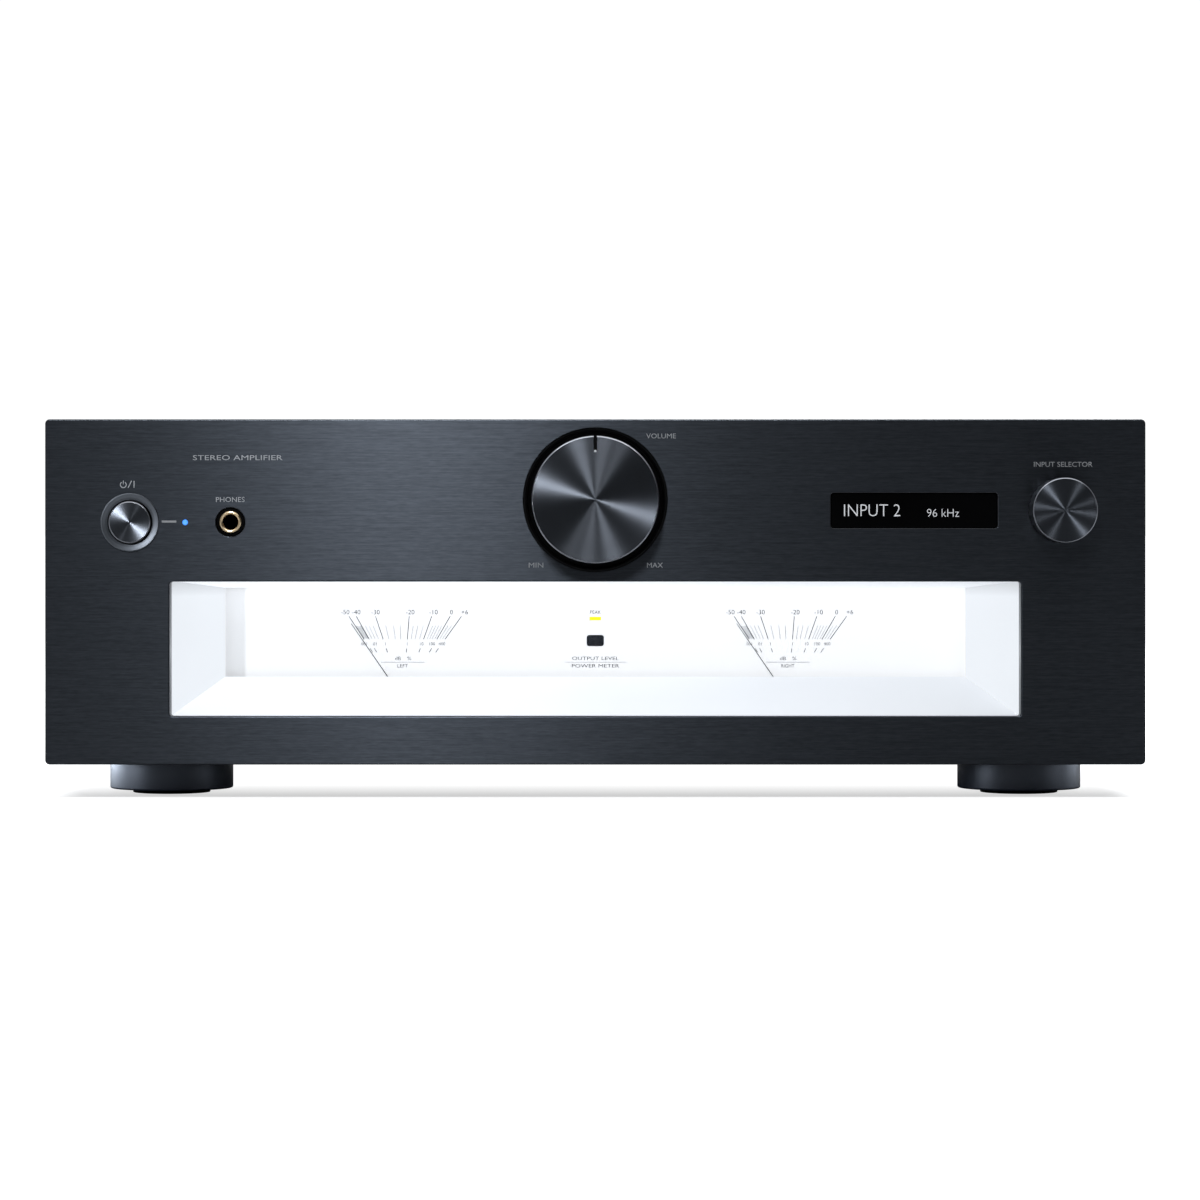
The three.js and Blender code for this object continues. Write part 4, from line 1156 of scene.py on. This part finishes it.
# ------------------------------------------------------------------ feet
# radius, z[, fillet]
FOOT_PROFILE = [
    (0, 4.8), (15.7, 4.8), (15.7, 1.7, 0.2), (24.5, 1.7, 0.8), (24.5, 13.3, 0.3), (0, 13.3),
]
PAD_PROFILE = [(0, 0), (15.4, 0, 0.25), (15.4, 4.6, 0.2), (0, 4.6)]
FEET = {"left": [], "right": []}
for end in ("front", "rear"):
    for side in ("left", "right"):
        foot = f"foot_{end}_{side}"
        x, y, _ = middle(foot)
        body = build(
            foot + "_body", upright(x, y, FOOT_PROFILE, 96, 5), "foot", at=(x, y, 0), flat="Z"
        )
        FEET[side].append(stand_in(body, foot))
        pad = build(
            foot + "_pad", upright(x, y, PAD_PROFILE, 96, 5), "rubber", at=(x, y, 0), flat="Z"
        )
        stand_in(pad, f"foot_pad_{end}_{side}")

# ------------------------------------------------------------------ cover and chassis
SIDE_X, TOP_Z, SHEET = COVER_HIGH[0], COVER_HIGH[2], 1.5
VENT_GROUPS, VENTS, VENT_PITCH = (-122, 0, 122), 8, 10.4
COVER_SCREWS = (("front", -118), ("rear", 132))  # end, y
COVER_SCREW_Z = 29
outline = rounded(
    [
        (-SIDE_X, COVER_LOW[2]), (-SIDE_X, TOP_Z, 2.6),
        (SIDE_X, TOP_Z, 2.6), (SIDE_X, COVER_LOW[2]),
        (SIDE_X - SHEET, COVER_LOW[2]), (SIDE_X - SHEET, TOP_Z - SHEET, 1.2),
        (-SIDE_X + SHEET, TOP_Z - SHEET, 1.2), (-SIDE_X + SHEET, COVER_LOW[2]),
    ],
    True, 6,
)
cover = build(
    "cover_shell", prism(outline, COVER_LOW[1], COVER_HIGH[1]), "cover", sharp=25, flat="XYZ"
)
cutters = []
for group_x in VENT_GROUPS:
    for i in range(VENTS):
        x = group_x + (i - (VENTS - 1) / 2) * VENT_PITCH
        vent = rect(x - 2, x + 2, -42, 112, 1.95, 5)(0)
        cutters.append(prism(vent, TOP_Z - 4, TOP_Z + 2, "Z"))
for _, y in COVER_SCREWS:
    for sign in (-1, 1):
        screw_hole = circle(y, COVER_SCREW_Z, 2.3, 24)(0)
        cutters.append(prism(screw_hole, sign * (SIDE_X + 1), sign * (SIDE_X - 3), "X"))
cut(cover, cutters)
bevel(cover, 0.3, 2, 40)
bake_modifiers(cover)
smooth(cover.data, 30, "XYZ")
stand_in(cover, "top_cover")
for node in ("bottom_chassis", "front_subpanel", "shield_partition"):
    cad(node, "zinc", 0.2)

# ------------------------------------------------------------------ rear sheet
SOCKET_Z = 112
LINE_X = [55 + 28 * i for i in range(5)]
LINE_Z = (SOCKET_Z - 8.5, SOCKET_Z + 8.5)
COAX_X = [-26, -4]
OPTICAL_X = -64
TERMINAL_X = [x + step for x in (-116.5, -41.5) for step in (0, 19.05)]
TERMINAL_Z = 46
INLET_X, INLET_Z = -176, 52
EARTH_X, EARTH_Z = 30, 96
rear_holes = [circle(x, z, 6.35, 40) for x in LINE_X for z in LINE_Z]
rear_holes += [circle(x, SOCKET_Z, 6.35, 40) for x in COAX_X]
rear_holes += [
    rect(OPTICAL_X - 15.5, OPTICAL_X + 15.5, 105.8, 118.2, 0.6, 3),
    rect(INLET_X - 14.2, INLET_X + 14.2, INLET_Z - 10.4, INLET_Z + 10.4, 0.6, 3),
]
rear_holes += [
    rect(a - 9, b + 9, TERMINAL_Z - 9, TERMINAL_Z + 9, 0.6, 3)
    for a, b in (TERMINAL_X[:2], TERMINAL_X[2:])
]
rear_holes.append(circle(EARTH_X, EARTH_Z, 2.35, 24))
rear = plate(
    "rear_sheet", rect(REAR_LOW[0], REAR_HIGH[0], REAR_LOW[2], REAR_HIGH[2], 1.6, 4),
    rear_holes, REAR_IN, REAR, "cover", front=0.15, back=0.2, n=2,
)
stand_in(rear, "rear_panel")

# ------------------------------------------------------------------ screws


def pan_screws(name, places, axis, sign, head, tall=1.0):
    """Pan-head screws with a cross recess, joined as one piece.

    places are the two coordinates across the axis and the seat along it; heads point by sign."""
    profile = rounded(
        [
            (0, 2.1 * tall), (head * 0.72, 2.0 * tall, 0.5 * tall), (head, 0.9 * tall, 0.5 * tall),
            (head, 0.0), (1.9, 0.0), (1.9, -3.0, 0.3), (0, -3.4),
        ],
        n=3,
    )
    cross = []
    for k in range(4):
        a = k * math.pi / 2
        for u, v in ((0.32, 1.9), (-0.32, 1.9), (-0.32, 0.32)):
            cross.append((u * math.cos(a) - v * math.sin(a), u * math.sin(a) + v * math.cos(a)))
    parts, recesses = [], []
    for across, up, seat in places:

        def put(u, v, h):
            if axis == "Y":
                return (across + u, seat + sign * h, up + v)
            if axis == "Z":
                return (across + u, up + v, seat + sign * h)
            return (seat + sign * h, across + u, up + v)

        def place(r, angle, h):
            return put(r * math.cos(angle), r * math.sin(angle), h)

        parts.append(revolve(profile, 32, place)[:2])
        verts, faces = prism(cross, 0.9 * tall, 3.0, "Z")
        recesses.append(([put(*v) for v in verts], faces))
    ob = build(name, merge(parts), "screw")
    cut(ob, recesses)
    smooth(ob.data)
    return ob


for side, sign in (("left", -1), ("right", 1)):
    for end, y in COVER_SCREWS:
        node = f"cover_screw_{side}_{end}"
        screw = pan_screws(node + "_head", [(y, COVER_SCREW_Z, sign * SIDE_X)], "X", sign, 4.0)
        stand_in(screw, node)

TERMINAL_SEAT = REAR + 3.3  # outer face of the terminal plate
sheet_screws = [
    (-203, 22), (203, 22), (-203, 137), (203, 137), (-90, 138), (90, 138), (0, 22), (120, 22),
    (-150, 22),
]
sheet_screws += [(x, SOCKET_Z) for x in (41, 69, 97, 125, 153, 181)]
sheet_screws += [(-86, SOCKET_Z), (-42, 118), (11, SOCKET_Z)]
pan_screws(
    "rear_sheet_screws",
    [(x, z, REAR) for x, z in sheet_screws]
    + [
        (x, TERMINAL_Z + dz, TERMINAL_SEAT)
        for dz in (11, -11)
        for x in (TERMINAL_X[0] - 11.5, TERMINAL_X[3] + 11.5)
    ]
    + [(INLET_X + dx, INLET_Z, REAR + 3.1) for dx in (-20, 20)],
    "Y", 1, 3.1,
)
pan_screws(
    "underside_screws",
    [(x, y, 13.6) for x in (-195, -70, 70, 195) for y in (-172, 178)]
    + [(x, y, 13.6) for x in (-128, 60, 170) for y in (-66, 40)],
    "Z", -1, 3.4, tall=0.5,
)

# ------------------------------------------------------------------ rear sockets
cad("analog_jack_block", "black", 0.15)
cad("coax_jack_block", "black", 0.15)


def phono(name, x, z, finish):
    """A phono socket: a gilt sleeve and a coloured insulating ring."""
    lathe(
        name + "_sleeve", x, z,
        [
            (3.5, 10.15), (3.5, 1.4), (4.95, 1.35), (4.95, 1.6, 0.1), (4.3, 1.9, 0.2),
            (4.3, 9.9, 0.25), (4.0, 10.15),
        ],
        "gold", 48, seat=REAR, closed=True,
    )
    lathe(
        name + "_insulator", x, z,
        [(1.75, 2.0), (3.45, 2.0), (3.45, 10.0, 0.3), (1.75, 10.0, 0.2)],
        finish, 40, seat=REAR, closed=True,
    )


for k, x in enumerate(LINE_X):
    for level, z, finish in zip(("lower", "upper"), LINE_Z, ("red", "white")):
        phono(f"line_socket_{k + 1}_{level}", x, z, finish)
for k, x in enumerate(COAX_X):
    phono(f"coax_socket_{k + 1}", x, SOCKET_Z, "orange")
cad("optical_sockets", "black", 0.25)
for k, x in enumerate((OPTICAL_X - 8.5, OPTICAL_X + 8.5)):
    shutter = (x - 4.4, x + 4.4, REAR - 1.6, REAR - 0.9, 108.0, 116.0)
    lip = (x - 3.6, x + 3.6, REAR - 0.9, REAR - 0.4, 114.2, 115.0)
    blocks(f"optical_shutter_{k + 1}", [shutter, lip], "black", 0.15)


def knurled(r, angle, y):
    if r > 4.9 and REAR + 3.9 < y < REAR + 9.9:
        return r + 0.16 * math.cos(40 * angle)
    return r


earth = lathe(
    "earth_screw_body", EARTH_X, EARTH_Z,
    [
        (0, REAR_IN - 5), (2.0, REAR_IN - 5, 0.3), (2.0, REAR + 0.4), (3.6, REAR + 0.4, 0.2),
        (3.6, REAR + 3, 0.2), (5.0, REAR + 3.3, 0.3), (5.0, REAR + 4), (5.0, REAR + 4.4),
        (5.0, REAR + 9.4), (5.0, REAR + 9.8), (4.8, REAR + 10.4, 0.3), (0, REAR + 10.6),
    ],
    "gold", 240, "earth_screw", shape=knurled,
)
stand_in(earth, "ground_screw")

# ------------------------------------------------------------------ speaker terminals
cad("speaker_terminal_plate", "black", 0.25)
CAP_END = box_mm("speaker_cap_right_minus")[1][1]
CAP_PROFILE = [
    (3.5, TERMINAL_SEAT + 2.4), (6.6, TERMINAL_SEAT + 2.4, 0.3), (6.6, TERMINAL_SEAT + 5.2, 0.3),
    (7.5, TERMINAL_SEAT + 5.6, 0.4), (7.7, TERMINAL_SEAT + 6.8), (7.85, TERMINAL_SEAT + 8),
    (7.85, CAP_END - 2.6), (7.6, CAP_END - 0.9, 0.3), (6.7, CAP_END, 0.4), (2.3, CAP_END),
    (2.3, CAP_END - 2), (3.5, CAP_END - 2),
]
CAPS = ("right_minus", "black"), ("right_plus", "red"), ("left_minus", "black"), ("left_plus", "red")


def fluted(r, angle, y):
    if r > 7.2 and y > TERMINAL_SEAT + 6.6:
        return r - 0.55 * max(0.0, math.cos(6 * angle)) ** 1.5
    return r


for (pole, finish), x in zip(CAPS, TERMINAL_X):
    body = f"terminal_cap_{pole}"
    cap = lathe(
        body + "_grip", x, TERMINAL_Z, CAP_PROFILE, "smoked", 144, body, closed=True, shape=fluted
    )
    stand_in(cap, f"speaker_cap_{pole}")
    lathe(
        body + "_band", x, TERMINAL_Z, [(3.4, -0.3), (3.4, 0.0), (6.0, 0.0), (6.0, -0.3)],
        finish, 72, body, CAP_END, closed=True,
    )
    lathe(
        f"terminal_stud_{pole}_washer", x, TERMINAL_Z,
        [(3.5, 2.05), (6.3, 2.05, 0.1), (6.3, 2.35, 0.1), (3.5, 2.35)],
        "gold", 64, seat=TERMINAL_SEAT, closed=True,
    )
cad("mains_inlet", "black", 0.4)

# ------------------------------------------------------------------ data socket and rear print
DATA_OPENING = (-111.2, -102.8, 107.2, 116.8)  # x0, x1, z0, z1
plate(
    "data_socket_frame", rect(-113.5, -100.5, 105, 119, 0.8, 4), [rect(*DATA_OPENING, 0.8, 3)],
    REAR + 0.02, REAR + 1.0, "steel", front=0.1, back=0.2, n=2,
)
blocks(
    "data_socket_tongue",
    [
        (-109.2, -104.8, REAR + 0.02, REAR + 0.7, 110.2, 114.0),
        (*DATA_OPENING[:2], REAR + 0.02, REAR + 0.12, *DATA_OPENING[2:]),
    ],
    "black", 0,
)
LINE_NAMES = ("LINE 1", "LINE 2", "LINE 3", "PHONO", "PRE OUT")
# text, x, z, height
rear_words = [(text, x, 129.5, 2.2) for text, x in zip(LINE_NAMES, LINE_X)] + [
    ("L", LINE_X[0] - 9.6, LINE_Z[1], 2.4),
    ("R", LINE_X[0] - 9.6, LINE_Z[0], 2.4),
    ("COAX 1", COAX_X[0], 124, 2.0),
    ("COAX 2", COAX_X[1], 124, 2.0),
    ("OPT 1", OPTICAL_X - 8.5, 124, 2.0),
    ("OPT 2", OPTICAL_X + 8.5, 124, 2.0),
    ("DATA", -107, 124, 2.0),
    ("EARTH", EARTH_X, 85.5, 2.0),
    ("AC IN", INLET_X, 68.5, 2.6),
    ("SPEAKERS", (TERMINAL_X[0] + TERMINAL_X[3]) / 2, 67, 2.6),
    ("R", (TERMINAL_X[0] + TERMINAL_X[1]) / 2, 64, 2.4),
    ("L", (TERMINAL_X[2] + TERMINAL_X[3]) / 2, 64, 2.4),
]
words([(*word, "C") for word in rear_words], "rear_legends", "ink", REAR + 0.015, facing=1)

# ------------------------------------------------------------------ inside
# node, finish, edge width[, segments, angle limit in degrees]
INNER_NODES = [
    ("power_transformer", "winding", 2.0, 3, 25),
    ("reservoir_capacitor_front", "sleeve", 1.2, 3, 50),
    ("reservoir_capacitor_rear", "sleeve", 1.2, 3, 50),
    ("amp_board", "pcb", 0.2),
    ("input_board", "pcb", 0.2),
    ("control_board", "pcb", 0.2),
    ("heat_sink", "sink", 0.3),
    ("power_switch", "black", 0.4),
    ("volume_pot", "zinc", 0.4),
    ("volume_shaft", "steel", 0.2),
    ("selector_shaft", "steel", 0.2),
    ("selector_encoder", "zinc", 0.3),
]
for row in INNER_NODES:
    cad(*row)

BOARD_TOP = 26.65  # of the amplifier board


def can(x, y, radius, height):
    """A small electrolytic can standing on the amplifier board, its top slightly dished."""
    top = BOARD_TOP + height
    profile = [
        (0, BOARD_TOP), (radius, BOARD_TOP), (radius, top, 0.5), (radius * 0.82, top, 0.2),
        (radius * 0.8, top - 0.3), (0, top - 0.3),
    ]
    return upright(x, y, profile, 20, 3)


def on_board(x0, x1, y0, y1, height, lift=0):
    return (x0, x1, y0, y1, BOARD_TOP + lift, BOARD_TOP + height)


def wire(name, points, radius, finish):
    """A round cable through points."""
    curve = bpy.data.curves.new(name, "CURVE")
    curve.dimensions = "3D"
    curve.bevel_depth = radius * MM
    curve.bevel_resolution = 4
    curve.use_fill_caps = True
    spline = curve.splines.new("BEZIER")
    spline.bezier_points.add(len(points) - 1)
    for knot, point in zip(spline.bezier_points, points):
        knot.co = Vector(point) * MM
        knot.handle_left_type = knot.handle_right_type = "AUTO"
    ob = bpy.data.objects.new(name, curve)
    SCENE.collection.objects.link(ob)
    mesh = evaluated_mesh(ob)
    bpy.data.objects.remove(ob)
    bpy.data.curves.remove(curve)
    mesh.materials.clear()
    mesh.materials.append(FINISH[finish])
    smooth(mesh, 60, "")
    add_mesh(name, mesh)


cans = [can(-24 + 11 * i, 28 + 14 * j, 4.0, 11) for i in range(6) for j in range(2)]
cans += [can(30 + 12 * i, -112, 4.4, 12) for i in range(13)]
cans += [can(26 + 13 * i, 98, 4.4, 14) for i in range(12)]
build("amp_board_capacitors", merge(cans), "sleeve", sharp=35, flat="Z")
blocks(
    "amp_board_relays",
    [on_board(-28 + 20 * i, -12 + 20 * i, 62, 88, 15) for i in range(4)]
    + [on_board(60 + 34 * i, 76 + 34 * i, 116, 140, 16) for i in range(4)],
    "black",
)
blocks(
    "power_transistors",
    [
        on_board(60 + 19.2 * i, 74 + 19.2 * i, y0, y1, 19, lift=1)
        for y0, y1 in ((-90, -84), (83, 88))
        for i in range(6)
    ],
    "black", 0.3,
)
blocks(
    "amp_board_connectors",
    [on_board(-30, -20, 100 + 14 * i, 110 + 14 * i, 9) for i in range(3)]
    + [on_board(2, 22, 112, 118, 9), on_board(30, 50, 112, 118, 9)],
    "white", 0.3,
)
blocks(
    "input_board_relays",
    [(-74 + 34 * i, -60 + 34 * i, REAR_IN - 25, REAR_IN - 15.3, 90, 98) for i in range(7)],
    "black",
)
blocks(
    "control_board_chips",
    [(x, x + 13, FACE + 27.7, FACE + 30.2, 112, 125) for x in (-96, -60, 36, 70, 152)],
    "black", 0.25,
)
for k, (dx, finish) in enumerate(((-3.4, "white"), (3.4, "black"))):
    wire(
        f"mains_wire_{k + 1}",
        [
            (-176 + dx, REAR_IN - 21.5, 50), (-176 + dx, 130, 48), (-168 + dx, 70, 24),
            (-150 + dx, 10, 30), (-140 + dx, -8, 60), (-136 + dx, -30, 68.5),
        ],
        1.5, finish,
    )
for k, finish in enumerate(("red", "red", "white", "black")):
    wire(
        f"secondary_wire_{k + 1}",
        [
            (-112, -46 + 5 * k, 68.5), (-90, -38 + 8 * k, 86), (-49.4, -26 + 12 * k, 108),
            (-30, -14 + 20 * k, 92), (-25, 60 + 14 * k, 50), (-25, 105 + 9.5 * k, BOARD_TOP + 9.5),
        ],
        1.4, finish,
    )
for k in range(6):
    wire(
        f"signal_wire_{k + 1}",
        [
            (4 + 3 * k, 115, BOARD_TOP + 9.2), (4 + 3 * k, 124, 60), (2 + 3 * k, 152, 100),
            (0 + 3 * k, REAR_IN - 15.5, 104),
        ],
        0.7, "white" if k % 2 else "red",
    )

# ------------------------------------------------------------------ floor
FLOOR_PAINTED_SHADOW, FLOOR_FAR = 0.6, 1.08  # glow in the band along the front feet, lowered there as a painted contact shadow, and elsewhere


def floor_white():
    """A floor that glows to the camera only, lower in a soft band along the front feet as a painted
    contact shadow.
    """
    m = Mat("floor", "floor_white", (0.6, 0.61, 0.62), rough=0.9, spec=0.05)
    place = m.axes(m.geometry()["Position"])
    near, far = FLOOR_PAINTED_SHADOW, FLOOR_FAR
    # painted shadow: the glow drops in front of and under the front of the body
    behind = m.remap(place["Y"], (FACE + 16) * MM, (FACE + 95) * MM, near, far)
    before = m.remap(place["Y"], (FACE - 6) * MM, (FACE + 10) * MM, far, near)
    beside = m.remap(m.math("ABSOLUTE", place["X"]), 0.2, 0.232, near, far)
    glow = m.math("MAXIMUM", m.math("MAXIMUM", behind, before), beside)
    to_camera = m.new("ShaderNodeLightPath").outputs["Is Camera Ray"]
    m.shade(
        Emission_Color=(1, 1, 1, 1), Emission_Strength=m.math("MULTIPLY", glow, to_camera)
    )


floor_white()
floor_mesh = bpy.data.meshes.new("floor")
corners = [(-30, -30, 0), (30, -30, 0), (30, 30, 0), (-30, 30, 0)]  # metres
floor_mesh.from_pydata(corners, [], [(0, 1, 2, 3)])
floor_mesh.materials.append(FINISH["floor"])
floor = bpy.data.objects.new("floor", floor_mesh)
SCENE.collection.objects.link(floor)

# ------------------------------------------------------------------ world
ENV_LEFT, ENV_RIGHT, ENV_BACK = 0.28, 0.0, 0.6  # light from the left, the right and behind
BACKDROP = 1.05  # white seen by the camera

world = bpy.data.worlds.new("studio")
SCENE.world = world
world.use_nodes = True
sky = Nodes(world.node_tree)
sky.tree.nodes.clear()
world_output = sky.new("ShaderNodeOutputWorld")
direction = sky.axes(sky.new("ShaderNodeTexCoord").outputs["Generated"])
from_behind = sky.remap(direction["Y"], -0.35, 0.5, 0.0, ENV_BACK)
from_sides = sky.remap(direction["X"], -0.45, 0.25, ENV_LEFT, ENV_RIGHT)
backdrop = sky.new("ShaderNodeBackground", Color=(1, 1, 1, 1), Strength=BACKDROP)
surround = sky.new(
    "ShaderNodeBackground", Color=(0.93, 0.96, 1.0, 1),
    Strength=sky.math("ADD", from_behind, from_sides),
)
to_camera = sky.new("ShaderNodeLightPath").outputs["Is Camera Ray"]
surface = sky.mix_shader(to_camera, surround.outputs[0], backdrop.outputs[0])
sky.feed(world_output, Surface=surface)

SCENE.view_settings.view_transform = "Standard"
SCENE.view_settings.look = "None"
SCENE.view_settings.exposure = 0
SCENE.view_settings.gamma = 1

# ------------------------------------------------------------------ lights
COOL, SOFT = (0.93, 0.96, 1.0), (0.95, 0.97, 1.0)
BLUISH = (0.74, 0.84, 1.0)
KEY_Y, SOFT_Y = FACE - 1400, FACE - 1250
ON_KNOB, ON_SELECTOR = (0, FACE, 110), (180, FACE, 110)
ON_BUTTON, ON_PHONES = (BUTTON_X, FACE, BUTTON_Z), (PHONES_X, FACE, PHONES_Z)
ALL_FEET = FEET["left"] + FEET["right"]
# name, place, aim, width, height, watts, colour, the only objects it lights (None: all)
LIGHTS = [
    ("key_left", (-466, KEY_Y, 268), ON_KNOB, 72, 72, 8.2, COOL, [knob]),
    ("knob_soft_left", (-257, SOFT_Y, 908), ON_KNOB, 230, 160, 15.5, COOL, [knob]),
    ("knob_soft", (111, SOFT_Y, 908), ON_KNOB, 200, 160, 8.5, SOFT, [knob]),
    ("knob_soft_right", (386, SOFT_Y, 908), ON_KNOB, 200, 160, 6, SOFT, [knob]),
    ("button_key", (-466, KEY_Y, 221), ON_BUTTON, 70, 70, 6.4, COOL, [button]),
    ("button_soft", (75, SOFT_Y, 908), ON_BUTTON, 100, 100, 5, SOFT, [button]),
    ("selector_key", (-466, KEY_Y, 236), ON_SELECTOR, 90, 90, 6, COOL, [selector]),
    ("selector_soft_left", (-300, SOFT_Y, 908), ON_SELECTOR, 130, 120, 28, COOL, [selector]),
    ("selector_soft_right", (800, SOFT_Y, 908), ON_SELECTOR, 110, 110, 7.5, SOFT, [selector]),
    ("selector_low_right", (900, SOFT_Y, 303), ON_SELECTOR, 80, 80, 1.6, SOFT, [selector]),
    ("ring_soft", (-813, FACE - 1273, 577), ON_BUTTON, 500, 500, 16, COOL, [ring]),
    ("gilt_soft", (-143, FACE - 800, 900), ON_PHONES, 250, 250, 15, SOFT, [gilt]),
    ("foot_left", (-1300, 450, 70), (-170, -154, 8), 1300, 130, 14, BLUISH, FEET["left"]),
    ("foot_right", (1400, 350, 70), (170, -154, 8), 900, 130, 3, BLUISH, FEET["right"]),
    ("foot_left_front", (-1500, -700, 70), (0, -154, 8), 800, 130, 7, BLUISH, ALL_FEET),
    ("foot_right_front", (1500, -700, 70), (0, -154, 8), 800, 130, 2.2, BLUISH, ALL_FEET),
    (
        "panel_soft", (-140, KEY_Y, 800), (-60, FACE, 110), 110, 300, 9.1, (0.9, 0.95, 1.0),
        [panel] + panel_print,
    ),
    ("overhead", (0, -100, 1700), (0, 0, 0), 2600, 2600, 28.0, (0.97, 0.985, 1.0), None),
    ("rear_soft", (300, 1500, 900), (0, 200, 80), 900, 600, 18, SOFT, None),
]


def area(name, at, aim, width, height, watts, color, only):
    light = bpy.data.lights.new(name, "AREA")
    light.energy = watts
    light.color = color
    light.size = width * MM
    light.shape = "RECTANGLE"
    light.size_y = height * MM
    ob = bpy.data.objects.new(name, light)
    SCENE.collection.objects.link(ob)
    ob.location = Vector(at) * MM
    ob.rotation_euler = (Vector(aim) - Vector(at)).to_track_quat("-Z", "Y").to_euler()
    if only:
        group = bpy.data.collections.new(name + "_lights")
        for receiver in only:
            group.objects.link(receiver)
        ob.light_linking.receiver_collection = group


for row in LIGHTS:
    area(*row)

# ------------------------------------------------------------------ camera
CAMERA_DISTANCE = 1700  # in front of the panel's face
CAMERA_HEIGHT = 108
camera_data = bpy.data.cameras.new("camera")
camera = bpy.data.objects.new("camera", camera_data)
SCENE.collection.objects.link(camera)
camera.location = (0.0, (FACE - CAMERA_DISTANCE) * MM, CAMERA_HEIGHT * MM)
camera.rotation_euler = (math.radians(90), 0, 0)  # level, looking along +Y
camera_data.sensor_width = 36
camera_data.lens = 130.54
camera_data.shift_x = 0.003925
camera_data.shift_y = -0.06538
camera_data.clip_end = 100
SCENE.camera = camera
